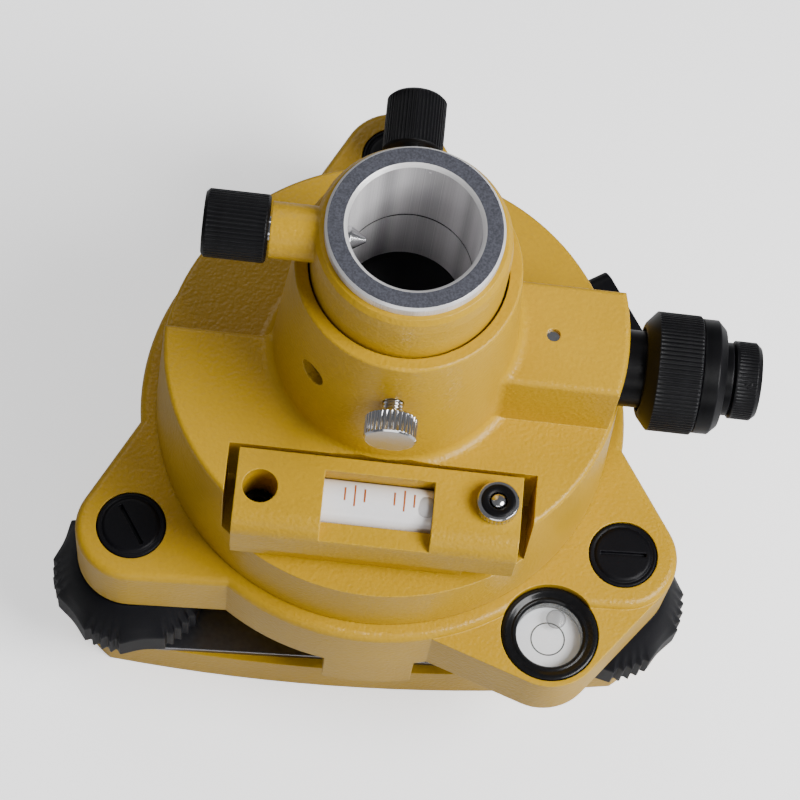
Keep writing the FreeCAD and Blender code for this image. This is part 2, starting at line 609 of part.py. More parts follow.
def lock():
    """Cam ring round the three studs, the ring that keeps it up, and the twist knob on its shaft."""
    blank = ring("lock_ring_blank", "ring_inner", "ring_outer", "ring_low", "ring_high")
    notches = [cylinder(f"lock_notch_{i}", "stud_radius + gap", "ring_low - 1", "ring_high + 1",
                        *polar("stud_reach", f"{foot_angle(direction)} + notch_turn"))
               for i, direction in enumerate(FEET, start=1)]
    piece("lock_ring", cut("lock_ring", blank, *notches))
    piece("lock_ring_retainer", ring("lock_ring_retainer", "ring_room - retainer_width", "ring_room",
                                     "ring_low - gap - retainer_thick", "ring_low - gap"))
    side = heading(foot_angle(SIDES[2]))
    centre = ("0", "0", "twist_level")
    piece("lock_shaft", rod("lock_shaft", "twist_shaft", "ring_room + wall_gap",
                            "twist_start + twist_thick/2", centre, side))
    corners = [polar("twist_radius", angle) for angle in (0, 120, 240)]
    discs = []
    for i, (x, y) in enumerate(corners, start=1):
        discs.append(cylinder(f"twist_corner_{i}", "twist_corner", "0", "twist_thick", x, y))
    webs = []
    for i, angle in enumerate((0, 120, 240)):
        for sign in (-60, 60):
            nx, ny = polar("twist_corner", angle + sign)
            webs.append((f"{corners[i][0]} + {nx}", f"{corners[i][1]} + {ny}"))
    knob = join("twist_blank", plate("twist_web", webs, "0", "twist_thick"), *discs)
    hole = cylinder("twist_knob_hole", "twist_shaft", "-1", "twist_thick/2")
    body = cut("lock_knob", knob, hole)
    spot = (*polar("twist_start", foot_angle(SIDES[2])), "twist_level")
    piece("lock_knob", place(body, spot, side))


# ---- adapter: studs, flange and the hollow vertical axis ----

def adapter():
    """Flange and hollow axle that the base grips, its studs, and the bush and nut of the axis."""
    piece("axis_adapter", turned("axis_adapter", [
        ("axis_bore", "ring_room_top"), ("centre_bore - running", "ring_room_top"),
        ("centre_bore - running", "plate_top"), ("adapter_radius", "plate_top"),
        ("adapter_radius", "adapter_top"), ("axis_radius", "adapter_top"),
        ("axis_radius", "nut_high"), ("axis_bore", "nut_high")]))
    studs = []
    for i, direction in enumerate(FEET, start=1):
        spot = (*polar("stud_reach", foot_angle(direction)), "0")
        studs.append(turned(f"stud_{i}", [
            ("0", "stud_low"), ("stud_radius", "stud_low"), ("stud_radius", "ring_low - gap"),
            ("stud_neck", "ring_low - gap"), ("stud_neck", "ring_high + gap"),
            ("stud_radius", "ring_high + gap"), ("stud_radius", "plate_top"),
            ("0", "plate_top")], spot))
    piece("adapter_studs", join("adapter_studs", *studs))
    bush = ring("bush_blank", "axis_radius + running", "bush_outer",
                "adapter_top + gap", "axis_top")
    piece("axis_bush", cut("axis_bush", bush, brake_hole("bush_brake_hole")))
    piece("axis_nut", ring("axis_nut", "axis_radius", "nut_radius", "nut_low", "nut_high"))


# ---- carrier casting ----

def carrier():
    """Drum with its decks, the plummet's block, the level's notch and the cone for the socket."""
    drum = cone("drum", "drum_foot", "drum_radius", "drum_low", "front_deck")
    rear_half = box("rear_half", ("-drum_foot", "drum_foot"), ("-step_back", "drum_foot"),
                    ("rear_deck", "front_deck + 1"))
    stepped = round_edges("decks_rounded", cut("stepped_drum", drum, rear_half), "deck_round",
                          deck_rims())
    block = plate("sight_block", [
        ("-rear_deck + 1", "0 - block_foot"), ("-front_deck", "0 - block_foot"),
        ("-block_top", "-block_half"),
        ("-block_top", "block_half"), ("-front_deck", "block_foot"), ("-rear_deck + 1", "block_foot")],
        "0", "block_end", turn=ALONG_X)
    block = overlap("block_ended", block,
                    cylinder("block_reach", "block_end", "rear_deck - 2", "block_top + 1", "0", "0"))
    block = round_edges("block_rounded", block, "block_round", at_height("block_top"))
    outer = "cone_foot + (front_deck - rear_deck)*(cone_foot - cone_rim)/(cone_top - front_deck)"
    tower = round_edges("tower_rounded", cone("tower", outer, "cone_rim", "rear_deck", "cone_top"),
                        "rim_round", at_height("cone_top"))
    whole = round_edges("cone_blended", join("carrier_blank", stepped, block, tower), "cone_blend",
                        around_cone())

    notch = box("level_notch", ("-notch_half", "notch_half"), ("-drum_foot", "notch_back"),
                ("shelf", "front_deck + 1"))
    flange_room = cylinder("flange_room", "adapter_radius + gap", "plate_top", "adapter_top + gap")
    bush_hole = cylinder("bush_hole", "bush_outer", "plate_top", "axis_top + 1")
    nut_room = cylinder("nut_room", "nut_radius + gap", "axis_top", "nut_high + gap*2")
    sight_hole = cylinder("sight_hole", "sight_bore", "axis_top", "sleeve_low")
    socket_hole = cylinder("socket_hole", "cone_bore", "sleeve_low - gap", "cone_top + 1")
    neck_hole = rod("neck_hole", "neck_radius", "0", "block_end + 1", ("0", "0", "sight_level"), ALONG_X)
    body = cut("carrier_body", whole, notch, flange_room, bush_hole, nut_room, sight_hole, socket_hole,
               neck_hole, *carrier_screw_holes())
    piece("carrier_body", body)


def carrier_screw_holes():
    """Holes of the level's two studs, the side screws, the block's screw and the rear clamp."""
    pivot = cylinder("pivot_hole_below", "pivot_shank", "screw_low", "shelf + 1", "pivot_x", "pivot_y")
    stud = cylinder("stud_hole_below", "level_stud", "screw_low", "shelf + 1", "nut_x", "nut_y")
    thumb = rod("thumb_hole", "thumb_shaft + running", "thumb_tip - 2", "thumb_start",
                ("0", "0", "thumb_level"), ALONG_MINUS_Y)
    grip = rod("grip_hole", "grip_screw_radius", "thumb_tip - 2", "cone_foot + 2",
               ("0", "0", "grip_screw_level"), heading("grip_screw_turn"))
    top = cylinder("top_screw_hole", "top_screw_radius", "sight_level + neck_radius - 1", "block_top + 1",
                   "top_screw_x", "0")
    seat = rod("grip_seat", "grip_screw_seat", "cone_rim - gap", "cone_foot + 2",
               ("0", "0", "grip_screw_level"), heading("grip_screw_turn"))
    return pivot, stud, thumb, grip, seat, top, brake_hole("brake_hole")


def brake_hole(name):
    return rod(name, "brake_shaft + running", "axis_radius", "drum_foot + 1",
               ("brake_x", "0", "brake_level"), ALONG_Y)


# ---- plate level in the carrier's notch ----

def plate_level():
    """Bar on a pivot screw and an adjusting nut, with the tube vial seen through its window."""
    beam = box("bar_beam", ("bar_left", "bar_right"), ("bar_front", "bar_back"), ("bar_under", "bar_top"))
    rounded = round_edges("bar_beam_rounded", beam, "bar_round", front_top_edge())
    foot = box("bar_foot", ("bar_left", "bar_foot_right"), ("bar_front + bar_foot_inset", "bar_back"),
               ("bar_foot", "bar_under + 1"))
    blank = join("bar_blank", rounded, foot)
    window = box("bar_window", ("window_left", "window_right"), ("window_front", "window_back"),
                 ("vial_level", "bar_top + 1"))
    sill = box("bar_sill", ("window_left", "window_right"), ("bar_front - 1", "window_front + 1"),
               ("window_sill", "bar_top + 1"))
    bore = rod("vial_bore", "vial_radius + wall_gap", "-vial_half", "vial_half",
               ("0", "vial_y", "vial_level"), ALONG_X)
    pivot_well = cylinder("pivot_well", "pivot_hole", "pivot_floor", "bar_top + 1", "pivot_x", "pivot_y")
    pivot_bore = cylinder("pivot_bore", "pivot_shank + gap", "bar_foot - 1", "bar_top", "pivot_x", "pivot_y")
    stud_bore = cylinder("stud_bore", "level_stud + gap", "bar_under - 1", "bar_top + 1", "nut_x", "nut_y")
    piece("level_bar", cut("level_bar", blank, window, sill, bore, pivot_well, pivot_bore, stud_bore))
    piece("level_vial", rod("level_vial", "vial_radius", "-vial_half", "vial_half",
                            ("0", "vial_y", "vial_level"), ALONG_X))

    nut_spot = ("nut_x", "nut_y", "0")
    piece("level_nut", ring_at("level_nut", "level_stud + gap", "level_nut", "level_nut_low",
                               "level_nut_high", nut_spot))
    piece("level_nut_disc", ring_at("level_nut_disc", "level_stud + gap", "level_disc", "level_nut_high",
                                    "level_nut_high + wall_gap", nut_spot))
    piece("level_stud", cylinder("level_stud", "level_stud", "screw_low", "level_stud_top", "nut_x", "nut_y"))
    shank = cylinder("pivot_screw_shank", "pivot_shank", "screw_low", "pivot_head_low + 1",
                     "pivot_x", "pivot_y")
    head = cylinder("pivot_screw_head", "pivot_head", "pivot_head_low", "pivot_head_top", "pivot_x",
                    "pivot_y")
    socket = cylinder("pivot_screw_socket", "pivot_socket", "pivot_head_top - pivot_socket_depth",
                      "pivot_head_top + 1",
                      "pivot_x", "pivot_y")
    piece("level_pivot_screw", cut("level_pivot_screw", join("pivot_screw_blank", shank, head), socket))


def front_top_edge():
    """Test for the level bar's long front edge at its top."""
    front, top = number("bar_front"), number("bar_top")

    def wanted(edge):
        middle = edge.CenterOfMass
        return abs(middle.y - front) < 0.01 and abs(middle.z - top) < 0.01
    return wanted


# ---- optical plummet along +X ----

def plummet():
    """Sight tube, focusing grip, eyepiece and the glass from the eye down through the hollow axis."""
    line = ("0", "0", "sight_level")
    piece("sight_tube", turned("sight_tube", [
        ("neck_inner", "neck_start"), ("neck_radius", "neck_start"), ("neck_radius", "neck_end"),
        ("neck_inner", "neck_end")], line, ALONG_X))
    piece("focus_grip", turned("focus_grip", [
        ("neck_radius + running", "shoulder_start"), ("neck_radius + shoulder_rim", "shoulder_start"),
        ("grip_radius", "grip_start"), ("grip_radius", "grip_end"), ("grip_bore", "grip_end"),
        ("grip_bore", "neck_end + gap"), ("neck_radius + running", "neck_end + gap")], line, ALONG_X))
    piece("eyepiece_barrel", turned("eyepiece_barrel", [
        ("neck_inner - eye_tube_wall", "reticle_low - reticle_thick"),
        ("neck_inner - running", "reticle_low - reticle_thick"),
        ("neck_inner - running", "neck_end + gap*2"), ("grip_bore - running", "neck_end + gap*2"),
        ("grip_bore - running", "barrel_start"), ("barrel_radius", "barrel_start"),
        ("barrel_radius", "barrel_end - barrel_round"), ("barrel_radius - barrel_round", "barrel_end"),
        ("eye_neck", "barrel_end"), ("eye_neck", "eye_start"),
        ("neck_inner - eye_tube_wall", "eye_start")], line, ALONG_X))
    piece("eyepiece_ring", turned("eyepiece_ring", [
        ("0", "eye_start + wall_gap"), ("eye_radius", "eye_start + wall_gap"), ("eye_radius", "eye_end"),
        ("eye_lens", "eye_end"), ("eye_lens", "eye_lens_low"),
        ("0", "eye_lens_low")], line, ALONG_X))
    piece("eyepiece_lens", rod("eyepiece_lens", "eye_lens", "eye_lens_low", "eye_lens_high",
                               line, ALONG_X))
    piece("reticle", rod("reticle", "neck_inner - eye_tube_wall", "reticle_low",
                         "reticle_low + reticle_thick",
                         line, ALONG_X))
    piece("sight_prism", plate("sight_prism", [
        ("0 - sight_level - mirror_half", "mirror_half"), ("0 - mirror_low", "0 - mirror_half"),
        ("0 - mirror_low", "mirror_half")], "0 - mirror_half", "mirror_half", turn=PRISM_TURN))
    piece("prism_seat", ring("prism_seat", "mirror_half*0.8", "sight_bore", "mirror_low - seat_thick",
                             "mirror_low"))
    piece("objective_cell", ring("objective_cell", "objective_radius", "sight_bore",
                                 "objective_level - objective_thick",
                                 "objective_level + objective_thick"))
    piece("objective_lens", cylinder("objective_lens", "objective_radius",
                                     "objective_level - objective_thick/2",
                                     "objective_level + objective_thick/2"))


# Lays a padded triangle's own x down -Z and its own y along +X, so that it spans Y.
PRISM_TURN = FreeCAD.Rotation(FreeCAD.Matrix(0, 1, 0, 0, 0, 0, -1, 0, -1, 0, 0, 0, 0, 0, 0, 1))


# ---- prism socket, its steel liner and its clamp ----

def socket():
    """Sleeve that turns in the cone, two steel liners, and the cone-pointed clamp through its boss."""
    barrel = turned("sleeve_barrel", [
        ("0", "sleeve_low"), ("sleeve_radius", "sleeve_low"), ("sleeve_radius", "liner_shelf - sleeve_round"),
        ("sleeve_radius - (sleeve_radius - sleeve_crown)*0.3", "liner_shelf - sleeve_round*0.3"),
        ("sleeve_crown", "liner_shelf"), ("0", "liner_shelf")])
    level = ("0", "0", "clamp_level")
    boss = rod("sleeve_boss", "boss_radius", "liner_outer", "boss_end", level, ALONG_MINUS_X)
    bore = cylinder("sleeve_bore", "liner_outer", "pad_low", "socket_top")
    clamp_hole = rod("clamp_hole", "clamp_shaft + running", "socket_bore - 1", "boss_end + 1", level,
                     ALONG_MINUS_X)
    piece("socket_sleeve", cut("socket_sleeve", join("sleeve_blank", barrel, boss), bore, clamp_hole))

    upper = turned("liner_blank", [
        ("socket_bore + joint_groove", "liner_joint"), ("liner_outer", "liner_joint"),
        ("liner_outer", "liner_shelf"),
        ("liner_flange", "liner_shelf"), ("liner_flange", "socket_top - liner_edge"),
        ("liner_flange - liner_edge", "socket_top"),
        ("socket_bore + bore_chamfer", "socket_top"), ("socket_bore", "socket_top - bore_chamfer"),
        ("socket_bore", "liner_joint + joint_groove")])
    liner_hole = rod("liner_hole", "clamp_shaft + running", "socket_bore - 2", "liner_outer + 1", level,
                     ALONG_MINUS_X)
    piece("upper_liner", cut("upper_liner", upper, liner_hole))
    piece("socket_pad", cylinder("socket_pad", "liner_outer", "pad_low", "socket_floor"))
    piece("lower_liner", turned("lower_liner", [
        ("socket_bore", "socket_floor"), ("liner_outer", "socket_floor"), ("liner_outer", "liner_joint"),
        ("socket_bore + joint_groove", "liner_joint"), ("socket_bore", "liner_joint - joint_groove")]))


def screws():
    """Clamp, thumb and brake screws, each a shaft with its knob, and two grub screws."""
    side = ("0", "0", "clamp_level")
    piece("clamp_shaft", turned("clamp_shaft", [
        ("0", "clamp_tip"), ("clamp_point", "clamp_tip"), ("clamp_shaft", "clamp_tip + clamp_cone"),
        ("clamp_shaft", "clamp_start + clamp_knob_length/2"), ("0", "clamp_start + clamp_knob_length/2")],
        side, ALONG_MINUS_X))
    piece("clamp_knob", knob("clamp_knob", "clamp_knob", "clamp_shaft", "clamp_start", "clamp_end", side,
                             ALONG_MINUS_X))

    front = ("0", "0", "thumb_level")
    piece("thumb_shaft", rod("thumb_shaft", "thumb_shaft", "thumb_tip", "thumb_start + thumb_head_length/2",
                             front, ALONG_MINUS_Y))
    piece("thumb_head", knob("thumb_head", "thumb_head", "thumb_shaft", "thumb_start", "thumb_end", front,
                             ALONG_MINUS_Y))

    rear = ("brake_x", "0", "brake_level")
    piece("brake_shaft", rod("brake_shaft", "brake_shaft", "brake_tip", "brake_start + brake_knob_length/2",
                             rear, ALONG_Y))
    piece("brake_knob", knob("brake_knob", "brake_knob", "brake_shaft", "brake_start", "brake_end", rear,
                             ALONG_Y))

    piece("grip_screw", rod("grip_screw", "grip_screw_radius", "sleeve_radius + gap", "cone_rim",
                            ("0", "0", "grip_screw_level"), heading("grip_screw_turn")))
    piece("block_screw", cylinder("block_screw", "top_screw_radius", "sight_level + neck_radius",
                                  "block_top - top_screw_sink", "top_screw_x", "0"))


def knob(name, radius, shaft, start, end, spot, turn):
    """Round knob with chamfered ends, bored half way for the shaft that it stands on."""
    chamfer = f"({radius})*0.07"
    bore = f"{shaft} + running"
    half = f"({start} + {end})/2 + wall_gap"
    return turned(name, [
        (bore, start), (f"{radius} - {chamfer}", start), (radius, f"{start} + {chamfer}"),
        (radius, f"{end} - {chamfer}"), (f"{radius} - {chamfer}", end), ("0", end), ("0", half),
        (bore, half)],
        spot, turn)


def main():
    base()
    foot_screws()
    levelling_plate()
    round_level()
    lock()
    adapter()
    carrier()
    plate_level()
    plummet()
    socket()
    screws()
    doc.recompute()
    check()
    write()


def check():
    """Stop on any object that failed to build and on any piece without a sound shape."""
    for thing in doc.Objects:
        if {"Invalid", "Error"} & set(thing.State):
            raise RuntimeError(f"{thing.Label} did not build: {thing.State}")
    names = [solid.Label for solid in PIECES]
    if len(set(names)) != len(names):
        raise RuntimeError("two pieces share a name")
    for solid in PIECES:
        if solid.Shape.isNull() or not solid.Shape.isValid() or solid.Shape.Volume <= 0:
            raise RuntimeError(f"{solid.Label} has no sound shape")


def write():
    os.makedirs("parts", exist_ok=True)
    for solid in PIECES:
        solid.Shape.exportStep(f"parts/{solid.Label}.step")
        print(f"{solid.Label:24s} {len(solid.Shape.Solids)} solid  {solid.Shape.Volume:10.1f} mm3")
    print(len(PIECES), "pieces")


main()
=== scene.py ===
# %% [markdown]
# # A prism carrier on its levelling base
# The real object is two castings that turn on each other, a clamp socket, a small
# sighting telescope and two spirit levels. The exact solids come from the frame.
# What is made here is what a maker adds last: knurls, threads, printed lines,
# paint, anodising and turned steel.

# %% Load the frame
import json
import math
import bmesh
import bpy
import numpy as np
from mathutils import Matrix, Vector


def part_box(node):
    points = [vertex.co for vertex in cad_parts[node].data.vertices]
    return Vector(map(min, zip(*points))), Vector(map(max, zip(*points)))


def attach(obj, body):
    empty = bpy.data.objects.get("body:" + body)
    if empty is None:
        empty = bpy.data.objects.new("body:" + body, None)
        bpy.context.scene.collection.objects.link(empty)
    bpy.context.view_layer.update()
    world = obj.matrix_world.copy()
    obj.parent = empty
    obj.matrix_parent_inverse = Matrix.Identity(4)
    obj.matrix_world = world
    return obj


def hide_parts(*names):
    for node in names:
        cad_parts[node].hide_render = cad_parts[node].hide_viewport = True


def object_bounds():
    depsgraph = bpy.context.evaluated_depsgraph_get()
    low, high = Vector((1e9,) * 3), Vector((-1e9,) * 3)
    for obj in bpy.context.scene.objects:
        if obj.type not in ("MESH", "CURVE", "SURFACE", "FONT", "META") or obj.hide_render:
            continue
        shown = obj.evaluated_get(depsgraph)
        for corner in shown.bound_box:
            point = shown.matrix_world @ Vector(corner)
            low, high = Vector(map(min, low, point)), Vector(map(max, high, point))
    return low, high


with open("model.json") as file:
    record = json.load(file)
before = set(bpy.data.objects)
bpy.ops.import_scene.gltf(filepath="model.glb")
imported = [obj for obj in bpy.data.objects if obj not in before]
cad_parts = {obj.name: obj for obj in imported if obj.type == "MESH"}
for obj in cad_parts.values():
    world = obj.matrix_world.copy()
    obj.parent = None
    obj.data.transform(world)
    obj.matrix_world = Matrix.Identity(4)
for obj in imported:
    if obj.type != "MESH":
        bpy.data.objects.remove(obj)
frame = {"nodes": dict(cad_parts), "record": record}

cad_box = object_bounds()
NODES = frame["nodes"]
MM = 0.001
print("nodes", len(NODES), "box", [[round(c/MM, 1) for c in corner] for corner in cad_box])

# %% [markdown]
# ## The camera
# The maker's picture looks down on the socket from in front, slightly tilted. A
# camera can be turned by hand or with angles. Here the line of sight comes from an
# azimuth and an elevation, and a roll turns the picture about it, because each
# number then means one thing.

# %% Place the camera
LOOK_AT = Vector((0.0019, -0.0142, 0.095))
AZIMUTH, ELEVATION, ROLL = (math.radians(a) for a in (-4.69, 67.56, 10.64))
DISTANCE, FOCAL = 0.578, 129.6
back = Vector((math.sin(AZIMUTH)*math.cos(ELEVATION), -math.cos(AZIMUTH)*math.cos(ELEVATION),
               math.sin(ELEVATION)))
level_right = (-back).cross(Vector((0, 0, 1))).normalized()
level_up = level_right.cross(-back).normalized()
right = level_right*math.cos(ROLL) + level_up*math.sin(ROLL)
up = -level_right*math.sin(ROLL) + level_up*math.cos(ROLL)

camera_data = bpy.data.cameras.new("camera")
camera_data.lens = FOCAL
camera = bpy.data.objects.new("camera", camera_data)
camera.matrix_world = (Matrix.Translation(LOOK_AT + back*DISTANCE)
                       @ Matrix((right, up, back)).transposed().to_4x4())
bpy.context.scene.collection.objects.link(camera)
bpy.context.scene.camera = camera
print("camera at", [round(c, 3) for c in camera.matrix_world.translation])

# %% [markdown]
# ## Light and floor
# Shiny metal shows what is round it, so what it reflects matters more than how
# strong a lamp is. Small lamps would give hard dots. Large soft panels, as a
# product studio has, draw long bright and dark bands on the steel, and the bands
# in the bore are painted into its colour as well.

# %% Set up the soft panels
SUBJECT = Vector((0.0, 0.0, 0.09))
PANELS = {  # name: (place, width, height, power)
    "key_panel": ((0.40, -0.16, 0.52), 0.34, 0.34, 7.0),
    "front_panel": ((0.02, -0.95, 0.50), 0.8, 0.30, 1.9),
    "rear_panel": ((-0.30, 0.62, 0.80), 0.6, 0.26, 2.0),
}
for name, (place, width, height, power) in PANELS.items():
    lamp = bpy.data.lights.new(name, "AREA")
    lamp.shape, lamp.size, lamp.size_y, lamp.energy = "RECTANGLE", width, height, power
    panel = bpy.data.objects.new(name, lamp)
    panel.location = place
    panel.rotation_euler = (SUBJECT - Vector(place)).to_track_quat("-Z", "Y").to_euler()
    bpy.context.scene.collection.objects.link(panel)
world = bpy.data.worlds.new("studio")
world.use_nodes = True
world.node_tree.nodes["Background"].inputs["Color"].default_value = (0.93, 0.95, 1.0, 1)
world.node_tree.nodes["Background"].inputs["Strength"].default_value = 0.19
bpy.context.scene.world = world
print("panels", list(PANELS))

# %% [markdown]
# ## Tools for materials
# A material is a small machine of nodes. Effects that several finishes share, such
# as worn edges, casting grain, turned rings and handling marks, are built once as
# groups with their own dials. The alternative is to copy the nodes into every
# material, which is harder to keep alike.

# %% Helpers that add nodes
def add(tree, kind, wires=None, **settings):
    """Add a node, set its properties, then link a socket or set a number on each input."""
    made = tree.nodes.new("ShaderNode" + kind)
    for key, value in settings.items():
        setattr(made, key, value)
    for key, source in (wires or {}).items():
        if isinstance(source, bpy.types.NodeSocket):
            tree.links.new(source, made.inputs[key])
        else:
            made.inputs[key].default_value = source
    return made


def maths(tree, operation, *values, **settings):
    """One arithmetic node on sockets or numbers; gives its result socket."""
    return add(tree, "Math", dict(enumerate(values)), operation=operation, **settings).outputs[0]


def mix_colours(tree, amount, first, second):
    """Colour between two, by an amount from 0 to 1."""
    made = add(tree, "Mix", {0: amount, 6: first, 7: second}, data_type="RGBA")
    return made.outputs[2]


def new_group(name, dials, results):
    """Empty node group with number inputs and the named outputs of given kinds."""
    group = bpy.data.node_groups.new(name, "ShaderNodeTree")
    for label, value in dials.items():
        group.interface.new_socket(label, in_out="INPUT", socket_type="NodeSocketFloat").default_value = value
    for label, kind in results.items():
        group.interface.new_socket(label, in_out="OUTPUT", socket_type="NodeSocket" + kind)
    return group, group.nodes.new("NodeGroupInput"), group.nodes.new("NodeGroupOutput")


# %% [markdown]
# Worn and highlighted edges: paint is thin on a sharp edge and rubs bright there,
# and the lighter edge colour also stands in for the highlight along an edge, a
# painted highlight. One way is to paint the edges by hand. A Bevel node finds them:
# it gives a rounded normal near an edge, and where that differs from the flat one
# is the edge.

# %% Group: worn edges with a painted edge highlight
worn_and_highlighted_edges, dial, result = new_group("worn and highlighted edges", {"Radius": 0.0004, "Contrast": 3.0},
                                     {"Mask": "Float", "Normal": "Vector"})
soft = add(worn_and_highlighted_edges, "Bevel", {"Radius": dial.outputs["Radius"]}, samples=6)
own_normal = add(worn_and_highlighted_edges, "NewGeometry").outputs["Normal"]
facing = add(worn_and_highlighted_edges, "VectorMath", {0: soft.outputs[0], 1: own_normal},
             operation="DOT_PRODUCT")
bent = maths(worn_and_highlighted_edges, "SUBTRACT", 1.0, facing.outputs["Value"])
strong = maths(worn_and_highlighted_edges, "MULTIPLY", bent, dial.outputs["Contrast"], use_clamp=True)
worn_and_highlighted_edges.links.new(strong, result.inputs["Mask"])
worn_and_highlighted_edges.links.new(soft.outputs[0], result.inputs["Normal"])
print("group", worn_and_highlighted_edges.name)

# %% [markdown]
# Casting grain: powder paint dries with a fine pebbled skin. A displaced mesh
# would need millions of faces. Noise in three sizes, read from the piece's own
# coordinates, tilts the shading instead: the finest is the pebbles, and the
# coarsest a slow change of tone.

# %% Group: casting grain
casting_grain, dial, result = new_group("casting grain", {"Scale": 1500.0},
                                        {"Height": "Float", "Tone": "Float"})
spot = add(casting_grain, "TexCoord").outputs["Object"]
pebbles = add(casting_grain, "TexNoise", {"Vector": spot, "Scale": dial.outputs["Scale"], "Detail": 2.0,
                                          "Roughness": 0.45})
cells = add(casting_grain, "TexVoronoi", {"Vector": spot, "Scale": dial.outputs["Scale"], "Smoothness": 0.6},
            feature="SMOOTH_F1")
slow = add(casting_grain, "TexNoise", {"Vector": spot, "Scale": 38.0, "Detail": 3.0})
height = maths(casting_grain, "SUBTRACT", pebbles.outputs[0],
               maths(casting_grain, "MULTIPLY", cells.outputs[0], 0.6))
tone = maths(casting_grain, "MULTIPLY_ADD", pebbles.outputs[0], 0.35,
             maths(casting_grain, "MULTIPLY", slow.outputs[0], 0.65))
casting_grain.links.new(height, result.inputs["Height"])
casting_grain.links.new(tone, result.inputs["Tone"])
print("group", casting_grain.name)

# %% [markdown]
# Turned rings: a lathe tool leaves fine rings round the axis. They could be cut
# into the mesh, but they are a hundredth of a millimetre deep. Noise that only
# depends on the place along the axis, stretched over the whole turn, does it.

# %% Group: turned rings
turned_rings, dial, result = new_group("turned rings", {"Along": 0.0, "Per metre": 6000.0},
                                       {"Height": "Float", "Shade": "Float"})
fine = add(turned_rings, "TexNoise",
           {"W": dial.outputs["Along"], "Scale": dial.outputs["Per metre"], "Detail": 3.0},
           noise_dimensions="1D")
wide = add(turned_rings, "TexNoise", {"W": dial.outputs["Along"], "Scale": 420.0, "Detail": 2.0},
           noise_dimensions="1D")
turned_rings.links.new(fine.outputs[0], result.inputs["Height"])
turned_rings.links.new(maths(turned_rings, "MULTIPLY_ADD", fine.outputs[0], 0.5, maths(
    turned_rings, "MULTIPLY", wide.outputs[0], 0.5)), result.inputs["Shade"])
print("group", turned_rings.name)

# %% [markdown]
# Handling marks: fingers leave slightly glossier and duller patches. They only
# change the roughness, which is how they show on real metal and plastic.

# %% Group: handling marks
handling, dial, result = new_group("handling marks", {"Level": 0.4, "Spread": 0.1}, {"Roughness": "Float"})
spot = add(handling, "TexCoord").outputs["Object"]
patches = add(handling, "TexNoise", {"Vector": spot, "Scale": 130.0, "Detail": 4.0, "Distortion": 0.4})
centred = maths(handling, "SUBTRACT", patches.outputs[0], 0.5)
handling.links.new(maths(handling, "MULTIPLY_ADD", centred, dial.outputs["Spread"], dial.outputs["Level"]),
                   result.inputs["Roughness"])
print("group", handling.name)

# %% [markdown]
# ## Finishes
# Every finish is one Principled shader. Its colour runs between two tones by the
# grain, a third colour takes over on the edges, partly wear and partly a painted
# highlight, the handling marks set the roughness, and grain and rings together are
# the height of one Bump. A table keeps the numbers side by side, so finishes can be
# compared and tuned.

# %% Build one finish from its numbers
def new_shader(name):
    """A material with an empty Principled shader; gives the material, its tree and the shader."""
    made = bpy.data.materials.new(name)
    made.use_nodes = True
    return made, made.node_tree, made.node_tree.nodes["Principled BSDF"]


def group_node(tree, group, **dials):
    """Place a group in a material and set its dials."""
    made = tree.nodes.new("ShaderNodeGroup")
    made.node_tree = group
    for label, source in dials.items():
        socket = made.inputs[label.replace("_", " ")]
        if isinstance(source, bpy.types.NodeSocket):
            tree.links.new(source, socket)
        else:
            socket.default_value = source
    return made


def along_axis(tree, axis):
    """Distance along x, y or z, or distance from the z axis plus height for a turned cup."""
    split = add(tree, "SeparateXYZ", {0: add(tree, "TexCoord").outputs["Object"]})
    if axis in "XYZ":
        return split.outputs[axis]
    squares = maths(tree, "MULTIPLY_ADD", split.outputs["X"], split.outputs["X"],
                    maths(tree, "MULTIPLY", split.outputs["Y"], split.outputs["Y"]))
    return maths(tree, "ADD", maths(tree, "SQRT", squares), split.outputs["Z"])


def make_finish(name, dark, light, edge, wear, roughness, spread, grain, depth, rings=None, ring_depth=0.0,
                edge_radius=0.0004, **plain):
    """Paint, plastic or metal: two tones, an edge colour, handling marks, grain and turned rings."""
    made, tree, shader = new_shader(name)
    edges = group_node(tree, worn_and_highlighted_edges, Radius=edge_radius, Contrast=wear)
    skin = group_node(tree, casting_grain, Scale=grain)
    tones, height = skin.outputs["Tone"], maths(tree, "MULTIPLY", skin.outputs["Height"], depth)
    if rings:
        lathe = group_node(tree, turned_rings, Along=along_axis(tree, rings), Per_metre=9000.0)
        height = maths(tree, "MULTIPLY_ADD", lathe.outputs["Height"], ring_depth, height)
        tones = lathe.outputs["Shade"]
    body_colour = mix_colours(tree, add(tree, "MapRange", {0: tones, 1: 0.3, 2: 0.7}).outputs[0],
                              (*dark, 1), (*light, 1))
    # The edge colour is partly wear and partly a painted highlight along the edges.
    colour = mix_colours(tree, edges.outputs["Mask"], body_colour, (*edge, 1))
    marks = group_node(tree, handling, Level=roughness, Spread=spread)
    bump = add(tree, "Bump", {"Height": height, "Distance": 1.0, "Normal": edges.outputs["Normal"]})
    tree.links.new(colour, shader.inputs["Base Color"])
    tree.links.new(marks.outputs[0], shader.inputs["Roughness"])
    tree.links.new(bump.outputs[0], shader.inputs["Normal"])
    for label, value in plain.items():
        shader.inputs[label.replace("_", " ")].default_value = value
    return made


# %% [markdown]
# Colours are linear light, not the numbers a paint program shows. The yellow is a
# powder coat: dielectric, a little rough, with pebbles about half a millimetre
# across. Anodised aluminium is dark but keeps a soft sheen, moulded plastic is
# duller and faintly blue, and steel and chrome are metallic.

